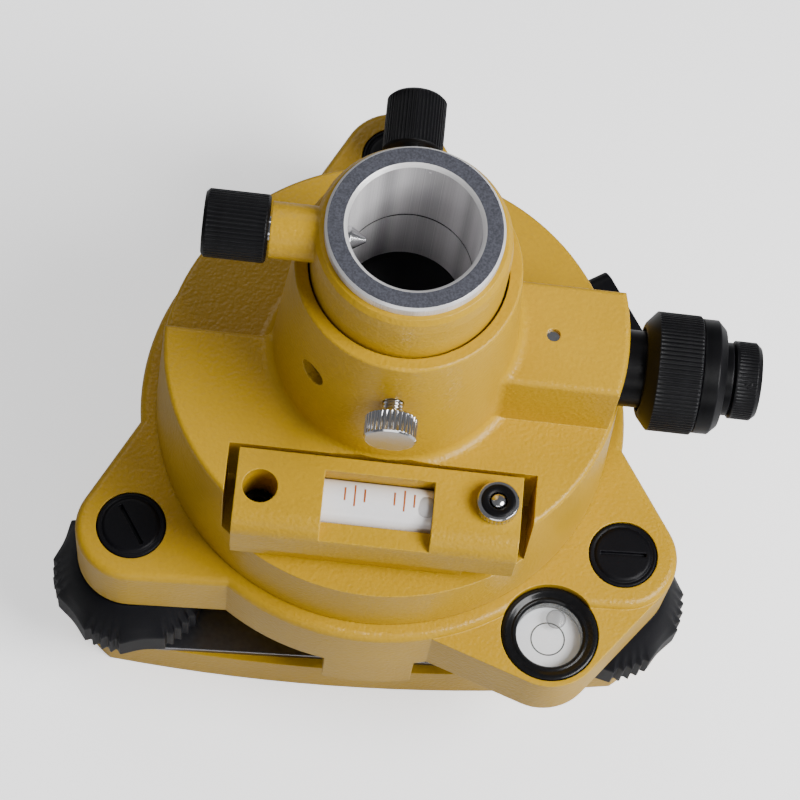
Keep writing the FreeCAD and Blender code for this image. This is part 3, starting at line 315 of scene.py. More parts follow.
# %% The finishes
BLACK, INK = (0.0015, 0.0015, 0.0018), (0.005, 0.005, 0.006)
FINISHES = {
    # The yellow's lighter edge colour is mostly a painted highlight along the cast edges, with a little wear.
    "cast_yellow": dict(dark=(0.44, 0.250, 0.004), light=(0.52, 0.305, 0.007), edge=(0.72, 0.48, 0.05),
                        wear=1.6, roughness=0.38, spread=0.10, grain=1250.0, depth=0.00010,
                        edge_radius=0.0004,
                        Specular_IOR_Level=0.36),
    "black_plastic": dict(dark=(0.002, 0.002, 0.003), light=(0.006, 0.006, 0.008), edge=(0.03, 0.03, 0.036),
                          wear=1.5, roughness=0.42, spread=0.12, grain=2600.0, depth=0.00001,
                          Specular_IOR_Level=0.12),
    "black_anodised": dict(dark=BLACK, light=INK, edge=(0.05, 0.05, 0.055), wear=1.2, roughness=0.34,
                           spread=0.10, grain=5000.0, depth=0.000004, rings="X", ring_depth=0.000006,
                           Specular_IOR_Level=0.15),
    "turned_steel": dict(dark=(0.58, 0.57, 0.57), light=(0.86, 0.85, 0.84), edge=(0.9, 0.9, 0.9), wear=1.0,
                         roughness=0.27, spread=0.015, grain=4000.0, depth=0.000002, rings="cup",
                         ring_depth=0.00002, edge_radius=0.00015, Metallic=1.0),
    "chrome": dict(dark=(0.50, 0.50, 0.51), light=(0.64, 0.64, 0.65), edge=(0.9, 0.9, 0.9), wear=1.0,
                   roughness=0.16, spread=0.06, grain=1800.0, depth=0.000003, edge_radius=0.00015,
                   Metallic=1.0),
    # The spring steel's bright edge colour is a painted highlight along the plate's edge.
    "spring_steel": dict(dark=(0.10, 0.10, 0.115), light=(0.17, 0.17, 0.19), edge=(0.62, 0.62, 0.66),
                         wear=6.0, roughness=0.30, spread=0.10, grain=900.0, depth=0.000003, Metallic=0.9),
    "brass": dict(dark=(0.50, 0.33, 0.12), light=(0.62, 0.43, 0.18), edge=(0.8, 0.62, 0.3), wear=1.0,
                  roughness=0.28, spread=0.1, grain=3000.0, depth=0.000003, rings="cup", ring_depth=0.00001,
                  Metallic=1.0),
    "axle_alloy": dict(dark=(0.50, 0.50, 0.51), light=(0.62, 0.62, 0.63), edge=(0.8, 0.8, 0.8), wear=1.0,
                       roughness=0.34, spread=0.1, grain=3000.0, depth=0.000003, rings="cup",
                       ring_depth=0.00001,
                       Metallic=1.0),
    "white_enamel": dict(dark=(0.84, 0.85, 0.88), light=(0.90, 0.91, 0.94), edge=(0.9, 0.9, 0.9), wear=0.2,
                         roughness=0.35, spread=0.05, grain=2500.0, depth=0.000002),
    "white_vial": dict(dark=(0.84, 0.83, 0.84), light=(0.92, 0.91, 0.92), edge=(0.9, 0.9, 0.9), wear=0.2,
                       roughness=0.16, spread=0.04, grain=1500.0, depth=0.000001),
}
MATERIALS = {name: make_finish(name, **numbers) for name, numbers in FINISHES.items()}
print("finishes", list(MATERIALS))

# %% [markdown]
# The round level's case is the same black as the plastic but polished, so it gets
# a low roughness and a clear coat. The rim of the socket is a matt blue-grey on
# its flat top only, and the faces cut after that treatment are bright. Facing up
# or not is read from the surface's own direction.

# %% Polished black, and the rim of the socket
MATERIALS["polished_black"] = make_finish(
    "polished_black", dark=BLACK, light=(0.008, 0.008, 0.009), edge=(0.02, 0.02, 0.022), wear=1.0,
    roughness=0.22, spread=0.05, grain=1200.0, depth=0.000002, Specular_IOR_Level=0.2, Coat_Weight=0.12)


SEAM = 0.1246                          # height of the joint between the two liners
SEAM_HALF = 0.00028                    # half the width of its dark line


def liner_finish(name, base, top):
    """Turned steel with upright bright and dark streaks painted in the bore as reflections, a dark line at the
    joint, and a matt flat top.
    """
    made = MATERIALS[base].copy()
    made.name = name
    tree, shader = made.node_tree, made.node_tree.nodes["Principled BSDF"]
    spot = add(tree, "TexCoord").outputs["Object"]
    place = add(tree, "SeparateXYZ", {0: spot})
    around = maths(tree, "ARCTAN2", place.outputs["Y"], place.outputs["X"])
    facing = add(tree, "SeparateXYZ", {0: add(tree, "NewGeometry").outputs["Normal"]})
    flat_top = add(tree, "MapRange", {0: facing.outputs["Z"], 1: 0.9, 2: 0.98}).outputs[0]
    # The upright bright and dark bands round the bore are painted reflections, a colour set by the turn round
    # the axis.
    broad_reflections = add(tree, "TexNoise", {"W": around, "Scale": 1.7, "Detail": 1.0}, noise_dimensions="1D")
    fine = add(tree, "TexNoise", {"W": around, "Scale": 60.0, "Detail": 3.0}, noise_dimensions="1D")
    reflection_streaks = maths(tree, "MULTIPLY_ADD", fine.outputs[0], 0.25, broad_reflections.outputs[0])
    band = add(tree, "MapRange", {0: reflection_streaks, 1: 0.45, 2: 0.80}).outputs[0]
    bore = mix_colours(tree, band, (0.46, 0.45, 0.46, 1), (0.98, 0.96, 0.97, 1))
    turned = shader.inputs["Base Color"].links[0].from_socket
    # Upright faces take the painted reflection bands, the others keep the turned steel colour.
    wall = mix_colours(tree, maths(tree, "LESS_THAN", facing.outputs["Z"], 0.2), turned, bore)
    marks = shader.inputs["Roughness"].links[0].from_socket
    from_seam = maths(tree, "ABSOLUTE", maths(tree, "SUBTRACT", place.outputs["Z"], SEAM))
    wall = mix_colours(tree, maths(tree, "LESS_THAN", from_seam, SEAM_HALF), wall, (0.012, 0.012, 0.012, 1))
    speckle = add(tree, "TexNoise", {"Vector": spot, "Scale": 2600.0, "Detail": 2.0}).outputs[0]
    matt = mix_colours(tree, add(tree, "MapRange", {0: speckle, 1: 0.35, 2: 0.65}).outputs[0],
                       tuple(0.7*channel for channel in top), tuple(1.3*channel for channel in top))
    tree.links.new(mix_colours(tree, flat_top, wall, matt), shader.inputs["Base Color"])
    tree.links.new(add(tree, "Mix", {0: flat_top, 2: marks, 3: 0.46}).outputs[0], shader.inputs["Roughness"])
    shader.inputs["Metallic"].default_value = 0.30
    return made


MATERIALS["steel_rim"] = liner_finish("steel_rim", "turned_steel", (0.065, 0.067, 0.084, 1))
MATERIALS["bore_steel"] = liner_finish("bore_steel", "turned_steel", (0.30, 0.30, 0.31, 1))
print("liner finishes", MATERIALS["steel_rim"].name, MATERIALS["bore_steel"].name)

# %% [markdown]
# Glass: the lenses are a dark gloss that is mostly opaque and lets a little light
# through. A pane close over something that has to stay bright, such as the round
# level's white floor, is nearly invisible from above, and only its gloss shows, so
# it is mostly clear. A bubble shows by its rim, which is why its clearness depends
# on the angle.

# %% Glass, clear cover and bubble
def glass_finish(name, colour, clear, rim):
    """Glossy surface that is clear face on, and closes towards its rim."""
    made, tree, shader = new_shader(name)
    shader.inputs["Base Color"].default_value = (*colour, 1)
    shader.inputs["Roughness"].default_value = 0.04
    graze = add(tree, "LayerWeight", {"Blend": 0.35}).outputs["Facing"]
    tree.links.new(add(tree, "MapRange", {0: graze, 3: clear, 4: rim}).outputs[0], shader.inputs["Alpha"])
    return made


MATERIALS["clear_cover"] = glass_finish("clear_cover", (0.9, 0.93, 0.93), 0.06, 0.30)
MATERIALS["bubble_film"] = glass_finish("bubble_film", (0.02, 0.02, 0.024), 0.16, 1.0)
MATERIALS["clear_glass"] = glass_finish("clear_glass", (0.02, 0.03, 0.05), 0.75, 0.95)
MATERIALS["level_ink"] = make_finish(
    "level_ink", dark=(0.015, 0.02, 0.02), light=(0.03, 0.035, 0.035), edge=(0.07, 0.07, 0.08), wear=0.0,
    roughness=0.5, spread=0.0, grain=3000.0, depth=0.0)
MATERIALS["orange_ink"] = make_finish(
    "orange_ink", dark=(0.42, 0.09, 0.008), light=(0.50, 0.13, 0.014), edge=(0.5, 0.13, 0.014), wear=0.0,
    roughness=0.5, spread=0.0, grain=3000.0, depth=0.0)
print("all finishes", len(MATERIALS))

# %% [markdown]
# ## Dress the exact solids
# The castings, plates and tubes already have the right shape. They keep it and
# only get their finish: the record names a slot for every node.

# %% Give every node its finish
slot_of = {part["node"]: part["material_slot"] for part in frame["record"]["subparts"]}
SPECIAL = {
    "upper_liner": "steel_rim", "lower_liner": "bore_steel",
    "round_level_case": "polished_black", "round_level_glass": "clear_cover",
}
for name, solid in NODES.items():
    solid.data.materials.clear()
    solid.data.materials.append(MATERIALS[SPECIAL.get(name, slot_of[name])])
print("dressed", len(NODES), "nodes")

# %% [markdown]
# ## Turned pieces
# Knobs, wheels, rings and screws are turned, so one function makes them all: a
# profile of radius against height is carried round an axis. A knurl, a thread or a
# scallop is a small change of the radius that depends on the turn and the height.
# Boolean cuts would need a cutter for every groove. A wave on the radius is exact.

# %% Carry a profile round an axis
def axis_frame(axis):
    """Three unit vectors: sideways, upwards, and along the axis."""
    along = np.asarray(axis, float)/np.linalg.norm(axis)
    side = np.cross(along, (0.0, 0.0, 1.0) if abs(along[2]) < 0.9 else (0.0, 1.0, 0.0))
    side /= np.linalg.norm(side)
    return side, np.cross(along, side), along


def mesh_object(name, points, faces, finish):
    """Object from points in metres and faces, with doubles merged and edges over 32 degrees sharp."""
    shape = bpy.data.meshes.new(name)
    shape.from_pydata(points.tolist(), [], faces.tolist())
    work = bmesh.new()
    work.from_mesh(shape)
    bmesh.ops.remove_doubles(work, verts=work.verts, dist=2e-7)
    bmesh.ops.recalc_face_normals(work, faces=work.faces)
    work.to_mesh(shape)
    work.free()
    shape.shade_smooth()
    shape.set_sharp_from_angle(angle=math.radians(32))
    shape.materials.append(MATERIALS[finish])
    made = bpy.data.objects.new(name, shape)
    bpy.context.scene.collection.objects.link(made)
    return made


def grid_faces(rows, columns, loop):
    """Quads of a grid that closes round its columns, and round its rows too if it is a loop."""
    row = np.arange(rows if loop else rows - 1)[:, None]
    column = np.arange(columns)[None, :]
    after, beside = (row + 1) % rows, (column + 1) % columns
    corners = (row*columns + column, row*columns + beside, after*columns + beside, after*columns + column)
    return np.stack(corners, -1).reshape(-1, 4)


SKIN = 0.8


def revolve(name, profile, centre, axis, finish, around=96, wave=None, loop=False):
    """Surface of revolution in mm.

    Point (i, j) is centre + height_i*along + (radius_i + wave(turn_j, height_i))*(cos turn_j*side
    + sin turn_j*up). The wave acts on the outer skin only, where the radius is over SKIN of the widest.
    """
    radius, height = np.array(profile, float).T
    turn = np.arange(around)*2*np.pi/around
    reach = np.repeat(radius[:, None], around, 1)
    if wave:
        reach = reach + np.where(reach > SKIN*radius.max(), wave(turn[None, :], height[:, None]), 0)
    side, up_axis, along = axis_frame(axis)
    ring = np.cos(turn)[:, None]*side + np.sin(turn)[:, None]*up_axis
    points = (np.asarray(centre, float) + height[:, None, None]*along + reach[:, :, None]*ring)*MM
    return mesh_object(name, points.reshape(-1, 3), grid_faces(len(profile), around, loop), finish)


def settle(piece, body, slot, *stands_for):
    """Let a finished piece ride on its body and stand for CAD nodes. The slot argument is not used."""
    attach(piece, body)
    if stands_for:
        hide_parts(*stands_for)
    print(piece.name, len(piece.data.polygons), "faces")
    return piece


def span(node):
    """Lowest and highest corner of a CAD node, in mm."""
    low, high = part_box(node)
    return np.array(low)/MM, np.array(high)/MM


# %% [markdown]
# A straight knurl is rolled into the bar: round ridges side by side with narrow
# grooves between. The radius dips by the cube of how far the turn is from a
# ridge's middle, and the dip fades out before the ends, as a roller leaves it.

# %% Waves: knurl and thread
def knurl(count, depth, low, high, fade=0.35):
    """Radius change -depth*|2f - 1|^3, with f the way through a tooth, fading at both ends."""
    def wave(turn, height):
        part = (turn*count/(2*np.pi)) % 1
        ends = np.clip((height - low)/fade, 0, 1)*np.clip((high - height)/fade, 0, 1)
        return -depth*np.abs(2*part - 1)**3*ends
    return wave


def thread(pitch, depth, low, high):
    """Radius change -depth*|2f - 1|, where f is how far the height is through a turn of the screw."""
    def wave(turn, height):
        part = (height/pitch - turn/(2*np.pi)) % 1
        return -depth*np.abs(2*part - 1)*((height > low) & (height < high))
    return wave


def steps(radius, low, high, spacing):
    """Profile rows of one radius, evenly spaced between two heights."""
    heights = np.linspace(low, high, max(2, int((high - low)/spacing) + 1))
    return [(radius, h) for h in heights]


TEETH = 6
print("a tooth is drawn with", TEETH, "points")

# %% [markdown]
# ## Black knobs
# The clamp and the brake have turned aluminium knobs, straight-knurled over their
# whole length, with a chamfer at each end and a shallow dish in the outer face.
# The bore that takes the screw is there too, because it shows as the knob turns.

# %% Clamp knob and brake knob
def on_axis(node, axis):
    """Near end of a turned node on its axis, its length and its radius, in mm."""
    low, high = span(node)
    along = np.array(axis, float)
    length = abs((high - low) @ along)
    radius = max((high - low)[np.abs(along) < 0.5])/2
    return (low + high)/2 - along*length/2, length, radius


def knurled_knob(node, axis, body, bore, pitch, depth, finish, slot, dish=0.35, edge=0.45):
    """Knob with a knurl as wide as its length, pitch being the width of one ridge."""
    start, length, radius = on_axis(node, axis)
    bored = length*0.5
    profile = [(0, bored), (bore, bored), (bore, 0), (radius - 3*edge, 0), (radius - edge, 0), (radius, edge),
               *steps(radius, edge + 0.35, length - edge*1.5 - 0.35, 2.0), (radius, length - edge*1.5),
               (radius - edge*1.5, length), (radius - edge*3.6, length), (radius - edge*4.4, length - dish),
               (0, length - dish)]
    count = round(2*math.pi*radius/pitch)
    knob = revolve(node + "_knurled", profile, start, axis, finish, count*TEETH,
                   knurl(count, depth, edge, length - edge*1.5))
    return settle(knob, body, slot, node)


knurled_knob("clamp_knob", (-1, 0, 0), "clamp_grip", 2.46, 0.92, 0.26, "black_anodised", "black_anodised")
knurled_knob("brake_knob", (0, 1, 0), "brake_grip", 2.66, 0.92, 0.26, "black_anodised", "black_anodised")

# %% [markdown]
# The focusing grip and the eyepiece ring are turned from the same bar. Their
# knurls stop short of one end, where a smooth shoulder leads to a smaller
# diameter. A ring is a profile that closes on itself, so it is carried round as a
# loop and needs no end caps.

# %% Focusing grip and eyepiece ring
start, length, radius = on_axis("focus_grip", (1, 0, 0))
bore, rim = 8.6, 9.4
ring_profile = [(bore, 0), (rim, 0), (rim + 0.5, 0.25), (radius - 0.35, 2.0), (radius, 2.35),
                *steps(radius, 2.6, length - 0.55, 1.6), (radius, length - 0.3), (radius - 0.3, length),
                (bore, length), (bore, length/2)]
count = round(2*math.pi*radius/0.95)
grip = revolve("focus_grip_knurled", ring_profile, start, (1, 0, 0), "black_anodised", count*TEETH,
               knurl(count, 0.30, 2.35, length + 0.1, 0.2), loop=True)
settle(grip, "focus", "black_anodised", "focus_grip")

start, length, radius = on_axis("eyepiece_ring", (1, 0, 0))
cup = 5.05
eye_profile = [(0, 0), (radius - 0.5, 0), (radius, 0.4), (radius, 0.8),
               *steps(radius, 1.1, length - 1.3, 1.4), (radius, length - 1.0), (radius - 0.9, length),
               (cup + 0.7, length), (cup, length - 0.6),
               (cup, length - 3.3), (0, length - 3.3)]
count = round(2*math.pi*radius/0.78)
eye = revolve("eyepiece_ring_knurled", eye_profile, start, (1, 0, 0), "black_anodised", count*TEETH,
              knurl(count, 0.24, 0.8, length - 1.0, 0.2))
settle(eye, "eyepiece", "black_anodised", "eyepiece_ring")

# %% [markdown]
# A grub screw holds the eyepiece ring. Its head is a small disc with a straight
# slot. On a disc laid out in rings and spokes, points nearer the middle line than
# half the slot's width are simply pushed down.

# %% Slotted grub screw in the eyepiece ring
def slotted_disc(name, centre, axis, radius, slot, depth, turned, finish):
    """Disc of rings and spokes in mm.

    A point at (r cos a, r sin a) is pushed down by depth where |r sin(a - turned)| < slot/2, and
    the rim falls by 0.4 mm.
    """
    side, up_axis, along = axis_frame(axis)
    reach = np.append(np.linspace(0, radius, 15), radius)[:, None]
    angle = (np.arange(72)*2*np.pi/72)[None, :]
    across = reach*np.sin(angle - turned)
    drop = np.where(np.abs(across) < slot/2, -depth, 0.0)
    drop[-1] = -0.4
    flat = (reach*np.cos(angle))[..., None]*side + (reach*np.sin(angle))[..., None]*up_axis
    points = (np.asarray(centre, float) + flat + drop[..., None]*along)*MM
    return mesh_object(name, points.reshape(-1, 3), grid_faces(16, 72, False), finish)


tilt = math.radians(61)
outwards = np.array([0.0, -math.cos(tilt), math.sin(tilt)])
grub_at = start + np.array([length*0.52, 0, 0]) + outwards*(radius - 0.02)
settle(slotted_disc("eyepiece_grub", grub_at, outwards, 0.78, 0.24, 0.22, 0.9, "black_anodised"),
       "eyepiece", "black_anodised")

# %% [markdown]
# ## Chrome screws
# The thumb screw in the cone shows its thread between the casting and its knurled
# head. A thread is a helix: the radius falls and rises with the height, and the
# whole pattern climbs by one pitch in each turn.

# %% Thumb screw, level nut and screw shafts
def knurled_disc(node, body, axis, bore, pitch, depth, edge, dish=0.0):
    """Thin chrome head or nut with a coarse knurl and a bevelled face."""
    start, length, radius = on_axis(node, axis)
    profile = [(bore, 0), (radius - edge, 0), (radius, edge), (radius, edge + 0.25), (radius, length/2),
               (radius, length - edge - 0.25), (radius, length - edge), (radius - edge, length),
               (radius - edge - 0.3, length - dish), (bore, length - dish)]
    if bore == 0:
        profile = [(0, 0)] + profile[1:-1] + [(0, length - dish)]
    count = round(2*math.pi*radius/pitch)
    made = revolve(node + "_knurled", profile, start, axis, "chrome", count*8,
                   knurl(count, depth, edge, length - edge, 0.12), loop=bore > 0)
    return settle(made, body, "chrome", node)


def threaded_shaft(node, body, axis, pitch, tip=0.3):
    """Screw shaft with a thread along it and a small chamfer at its free end."""
    start, length, radius = on_axis(node, axis)
    profile = [(0, 0), (radius - tip, 0), (radius, tip), *steps(radius, tip + 0.05, length - 0.05, pitch/6),
               (radius, length), (0, length)]
    made = revolve(node + "_threaded", profile, start, axis, "chrome", 48,
                   thread(pitch, pitch*0.42, tip, length - 0.02))
    return settle(made, body, "chrome", node)


knurled_disc("thumb_head", "thumb_grip", (0, -1, 0), 0, 1.0, 0.36, 0.35)
knurled_disc("level_nut", "adjuster", (0, 0, 1), 1.9, 0.85, 0.30, 0.22)
threaded_shaft("thumb_shaft", "thumb", (0, -1, 0), 0.7)
threaded_shaft("brake_shaft", "brake", (0, 1, 0), 0.8)

# %% [markdown]
# The level's stud ends in a bright dome above its black disc. The dome is a
# quarter circle, so the profile follows a sine and a cosine.

# %% Domed stud and the disc round it
start, length, radius = on_axis("level_stud", (0, 0, 1))
dome = [(radius*math.cos(a), length - 0.7 + 0.7*math.sin(a)) for a in np.linspace(0, math.pi/2, 8)]
stud_profile = [(0, 0), (radius, 0), *steps(radius, 0.1, length - 1.6, 0.1), (radius, length - 1.3), *dome]
stud_profile[-1] = (0, length)
stud = revolve("level_stud_threaded", stud_profile, start, (0, 0, 1), "chrome", 48,
               thread(0.5, 0.2, 0.1, length - 1.6))
settle(stud, "carrier", "chrome", "level_stud")

start, length, radius = on_axis("level_nut_disc", (0, 0, 1))
disc_profile = [(1.85, 0), (radius, 0), (radius, 0.08), (radius - 0.3, length), (2.35, length),
                (2.0, length - 0.12), (1.85, length - 0.12)]
settle(revolve("level_disc_bevelled", disc_profile, start, (0, 0, 1), "black_anodised", 64, loop=True),
       "adjuster", "black_anodised", "level_nut_disc")

# %% [markdown]
# ## Foot screws
# A foot wheel is moulded with six lobes. Half of each lobe carries four deep
# finger grooves, and the other half is a shallow hollow. Above the gripping band
# the wheel is a plain cone, and the pattern fades out over its first millimetres.

# %% Wave of the lobes
LOBES, GROOVES, GROOVE_DEPTH, HOLLOW_DEPTH = 6, 4, 1.0, 1.15
GROOVED = 0.46                         # share of a lobe that carries grooves


def lobes(band, fade):
    """Radius change of a lobed wheel.

    With p the way through a lobe and g its grooved share, it is -depth*(0.5 - 0.5 cos(2 pi GROOVES p/g))^0.8
    for p < g, and -hollow*sin(pi (p - g)/(1 - g)) beyond. It fades to nothing above the band.
    """
    def wave(turn, height):
        part = (turn*LOBES/(2*np.pi)) % 1
        grooves = -GROOVE_DEPTH*(0.5 - 0.5*np.cos(2*np.pi*GROOVES*part/GROOVED))**0.8
        hollow = -HOLLOW_DEPTH*np.sin(np.pi*np.clip((part - GROOVED)/(1 - GROOVED), 0, 1))
        return np.where(part < GROOVED, grooves, hollow)*np.clip(1 - (height - band)/fade, 0, 1)
    return wave


BAND, CROWN = 8.5, 12.0
CONE_STEPS = (0.03, 0.1, 0.2, 0.3, 0.45, 0.7, 0.95)
FIRST_LOBE = {1: 0.0, 2: 0.35, 3: 0.8}
for number in (1, 2, 3):
    start, length, radius = on_axis(f"foot_wheel_{number}", (0, 0, 1))
    cone = [(radius - (radius - CROWN)*s, BAND + (length - BAND)*s) for s in CONE_STEPS]
    wheel_profile = [(4.0, 0), (8.0, 0), (8.6, 0.8), (13.2, 0.8), (13.8, 0), (radius - 0.6, 0), (radius, 0.6),
                     *steps(radius, 1.2, BAND - 0.7, 1.6), (radius, BAND - 0.15), *cone,
                     (CROWN - 0.2, length), (4.0, length)]
    turn = FIRST_LOBE[number]
    wheel = revolve(f"foot_wheel_{number}_lobed", wheel_profile, start, (0, 0, 1), "black_plastic", 288,
                    lambda angle, height, turn=turn: lobes(BAND, 4.2)(angle + turn, height), loop=True)
    settle(wheel, f"foot_{number}", "black_plastic", f"foot_wheel_{number}")

# %% [markdown]
# A slotted black cap closes the hole over each foot screw. It is moulded with a
# low dome inside a bevelled flange, and its slot stops short of the dome's edge.
# The top is a grid that lies along the slot, so the slot's walls follow the grid
# lines and come out crisp.

# %% Slotted caps over the foot screws
CAP_TURNS = {1: -56, 2: 3, 3: 78}
CAP_RADIUS, DOME, SLOT_HALF, SLOT_REACH, SLOT_DEPTH = 7.23, 6.1, 0.42, 4.9, 1.1


def cap_height(reach):
    """Height of the top in mm, in straight lines between knots: low dome, step down, bevelled flange."""
    knots = [0.0, DOME - 0.5, DOME - 0.15, DOME, DOME + 0.18, DOME + 0.3, 6.95, CAP_RADIUS]
    drops = [0.0, -0.14, -0.34, -0.62, -0.72, -0.55, -0.5, -0.78]
    return np.interp(reach, knots, drops)


def lens_grid(radius, across, half_steps):
    """Points of a disc, (u*radius, v*radius*sqrt(1 - u^2)), with u from across and v from half_steps."""
    u = (across/radius)[:, None]
    chord = radius*np.sqrt(np.maximum(1 - u**2, 0))
    return u*radius + 0*half_steps[None, :], chord*half_steps[None, :]


side_steps = np.concatenate([np.linspace(SLOT_HALF + 0.02, 5.5, 14), np.linspace(5.65, CAP_RADIUS, 14)])
across = np.concatenate([-side_steps[::-1], [-SLOT_HALF, SLOT_HALF], side_steps])
half = np.concatenate([np.linspace(0, SLOT_REACH, 8), [SLOT_REACH + 0.02], np.linspace(5.1, 7.2, 16)])
half = half/CAP_RADIUS
half = np.concatenate([-1*np.append(half, 1.0)[::-1], np.append(half, 1.0)[1:]])
cap_faces = grid_faces(len(across), len(half), False)
flat_faces = cap_faces[(np.arange(len(cap_faces)) + 1) % len(half) != 0]
count = len(across)*len(half)
edge_rows = np.arange(len(across) - 1)*len(half)
walls = [np.stack([edge_rows + k, edge_rows + k + len(half), edge_rows + k + len(half) + count,
                   edge_rows + k + count], -1) for k in (0, len(half) - 1)]
for number, degrees in CAP_TURNS.items():
    low, high = span(f"screw_cap_{number}")
    x, y = lens_grid(CAP_RADIUS, across, half)
    inside = (np.abs(x) < SLOT_HALF + 0.01) & (np.abs(y) < SLOT_REACH + 0.01)
    z = cap_height(np.hypot(x, y)) - np.where(inside, SLOT_DEPTH, 0)
    angle = math.radians(degrees + 90)
    placed = [(low[0] + high[0])/2 + x*math.cos(angle) - y*math.sin(angle),
              (low[1] + high[1])/2 + x*math.sin(angle) + y*math.cos(angle)]
    sheets = [np.stack([*placed, level], -1).reshape(-1, 3) for level in (high[2] + z, low[2] + 0*z)]
    cap = mesh_object(f"screw_cap_{number}_slotted", np.concatenate(sheets)*MM,
                      np.concatenate([flat_faces, flat_faces[:, ::-1] + count, *walls]), "black_plastic")
    settle(cap, "levelling", "black_plastic", f"screw_cap_{number}")

# %% [markdown]
# Each foot screw is a steel spindle with a fine thread, turned down to a ball that
# sits in the base plate. The ball is a circle carried round the axis, and the
# thread starts above it.

# %% Threaded spindles with ball feet
BALL = 5.5
for number in (1, 2, 3):
    low, high = span(f"foot_screw_{number}")
    centre = (low + high)/2
    centre[2] = 9.0
    spindle, total = 4.0, high[2] - centre[2]
    ball = [(BALL*math.cos(a), BALL*math.sin(a)) for a in np.linspace(-math.pi/2, math.radians(43), 18)]
    ball[0] = (0, -BALL)
    spindle_profile = [*ball, (spindle - 0.5, 4.4), (spindle - 0.5, 5.2), (spindle, 5.6),
                       *steps(spindle, 5.7, total - 0.6, 0.2), (spindle - 0.4, total), (0, total)]
    made = revolve(f"foot_spindle_{number}", spindle_profile, centre, (0, 0, 1), "turned_steel", 40,
                   thread(1.0, 0.4, 5.65, total - 0.6))
    settle(made, f"foot_{number}", "turned_steel", f"foot_screw_{number}")

# %% [markdown]
# ## Round level
# The case is a polished ring: a narrow flat land, a bevel that falls inwards, and
# a small step where the glass is cemented. On the white floor is one printed
# circle. The bubble is a flattened drop of air that lies against the glass.

# %% Case, printed circle and bubble
start, length, radius = on_axis("round_level_case", (0, 0, 1))
pane = 7.0
case_profile = [(pane, 0.0), (radius, 0.0), (radius, length - 0.4), (radius - 0.12, length - 0.12),
                (radius - 0.4, length), (radius - 0.9, length), (radius - 1.25, length - 0.1),
                (radius - 1.9, length - 0.75), (radius - 2.1, length - 0.8), (radius - 2.35, length - 0.62),
                (radius - 2.6, length - 0.62), (pane + 0.15, length - 0.95), (pane, length - 1.2)]
settle(revolve("round_level_ring", case_profile, start, (0, 0, 1), "polished_black", 96, loop=True),
       "levelling", "black_plastic", "round_level_case")

floor_low, floor_high = span("round_level_floor")
middle = (floor_low + floor_high)/2
circle = [(3.40, 0.01), (3.68, 0.01), (3.68, 0.04), (3.40, 0.04)]
printed = revolve("round_level_circle", circle, (middle[0], middle[1], floor_high[2]), (0, 0, 1), "level_ink",
                  96, loop=True)
settle(printed, "levelling", "white_enamel")


def drop(name, centre, half_sizes, finish, power=2.0):
    """Flattened ball in mm: |x/a|^2 + |y/b|^2 + |z/c|^power = 1, on a grid of 40 by 24."""
    polar, turn = np.meshgrid(np.linspace(0, np.pi, 25), np.arange(40)*2*np.pi/40, indexing="ij")
    sideways = np.sin(polar)
    upright = np.sign(np.cos(polar))*np.abs(np.cos(polar))**(2/power)
    a, b, c = half_sizes
    points = np.stack([a*sideways*np.cos(turn), b*sideways*np.sin(turn), c*upright], -1) + np.asarray(centre)
    return mesh_object(name, points.reshape(-1, 3)*MM, grid_faces(25, 40, False), finish)


glass_top = span("round_level_glass")[1][2]
bubble_at = (middle[0] + 1.3, middle[1] + 4.0, glass_top - 1.2)
settle(drop("round_level_bubble", bubble_at, (2.1, 2.1, 0.8), "bubble_film"), "levelling", "clear_glass")

# %% [markdown]
# ## Plate level
# The vial's white back shows in the window of its bar. Six orange lines are
# printed on it, two groups of three, the middle one of each longer. They follow
# the glass, so each is a small curved strip laid just above the tube.

# %% Printed lines and the bubble of the plate level
low, high = span("level_vial")
centre, tube = (low + high)/2, (high[2] - low[2])/2
LINES = {-7: 1.5, -5: 2.5, -3: 1.5, 3: 1.5, 5: 2.5, 7: 1.5}


def printed_strip(x, half_length, width=0.36, shift=0.75):
    """Strip on the tube in mm: a point at angle a from the top is centre + (tube + lift)*(0, sin a, cos a)."""
    angle = np.linspace(-half_length, half_length, 9)/tube + shift/tube
    edge_x = np.array([x - width/2, x + width/2])
    rows = np.stack(np.meshgrid(angle, edge_x, indexing="ij"), -1).reshape(-1, 2)
    lift = np.array([0.005, 0.03])[:, None]
    return np.stack([np.broadcast_to(centre[0] + rows[:, 1], (2, 18)),
                     centre[1] + (tube + lift)*np.sin(rows[:, 0]),
                     centre[2] + (tube + lift)*np.cos(rows[:, 0])], -1)


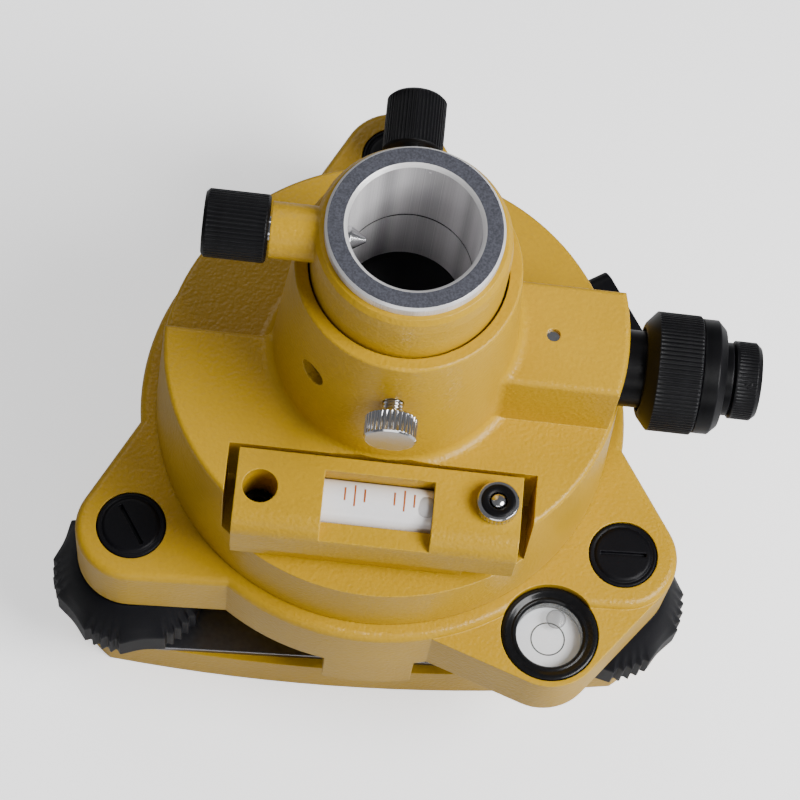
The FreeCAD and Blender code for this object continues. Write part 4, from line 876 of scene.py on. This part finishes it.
strip_row = np.arange(8)[:, None]*2
upper = np.stack([strip_row + 18, strip_row + 19, strip_row + 21, strip_row + 20], -1).reshape(-1, 4)
lower = np.stack([strip_row, strip_row + 2, strip_row + 3, strip_row + 1], -1).reshape(-1, 4)
left = np.stack([strip_row, strip_row + 18, strip_row + 20, strip_row + 2], -1).reshape(-1, 4)
right_side = np.stack([strip_row + 1, strip_row + 3, strip_row + 21, strip_row + 19], -1).reshape(-1, 4)
ends = np.array([[0, 1, 19, 18], [16, 34, 35, 17]])
strip_faces = np.concatenate([upper, lower, left, right_side, ends])
strips = [printed_strip(x, half).reshape(-1, 3) for x, half in LINES.items()]
line_points = np.concatenate(strips)*MM
line_faces = np.concatenate([strip_faces + 36*i for i in range(len(strips))])
settle(mesh_object("level_lines", line_points, line_faces, "orange_ink"), "level", "white_vial")
air_at = (centre[0] + 9.6, centre[1] - 0.2, centre[2] + tube - 0.55)
settle(drop("level_bubble", air_at, (2.4, 2.2, 0.75), "bubble_film"), "level", "clear_glass")

# %% [markdown]
# ## The floor
# A pale sheet lies under the object. It looks brighter from the camera than it
# lights the object, as a lit backdrop well behind the table does, so the black
# parts stay black. It belongs to no body of the object.

# %% Lay the floor
FLOOR_HALF = 3.0
floor_z = cad_box[0][2] - 0.0002
sheet = bpy.data.meshes.new("floor")
sheet.from_pydata([(-FLOOR_HALF, -FLOOR_HALF, floor_z), (FLOOR_HALF, -FLOOR_HALF, floor_z),
                   (FLOOR_HALF, FLOOR_HALF, floor_z), (-FLOOR_HALF, FLOOR_HALF, floor_z)], [], [(0, 1, 2, 3)])
floor = bpy.data.objects.new("floor", sheet)
floor_finish, floor_tree, floor_shader = new_shader("pale_floor")
seen = add(floor_tree, "LightPath").outputs["Is Camera Ray"]
floor_tree.links.new(mix_colours(floor_tree, seen, (0.55, 0.55, 0.56, 1), (0.92, 0.92, 0.93, 1)),
                     floor_shader.inputs["Base Color"])
floor_tree.links.new(mix_colours(floor_tree, seen, (0, 0, 0, 1), (1, 1, 1, 1)),
                     floor_shader.inputs["Emission Color"])
floor_shader.inputs["Emission Strength"].default_value = 0.9
floor_shader.inputs["Roughness"].default_value = 0.7
sheet.materials.append(floor_finish)
bpy.context.scene.collection.objects.link(floor)
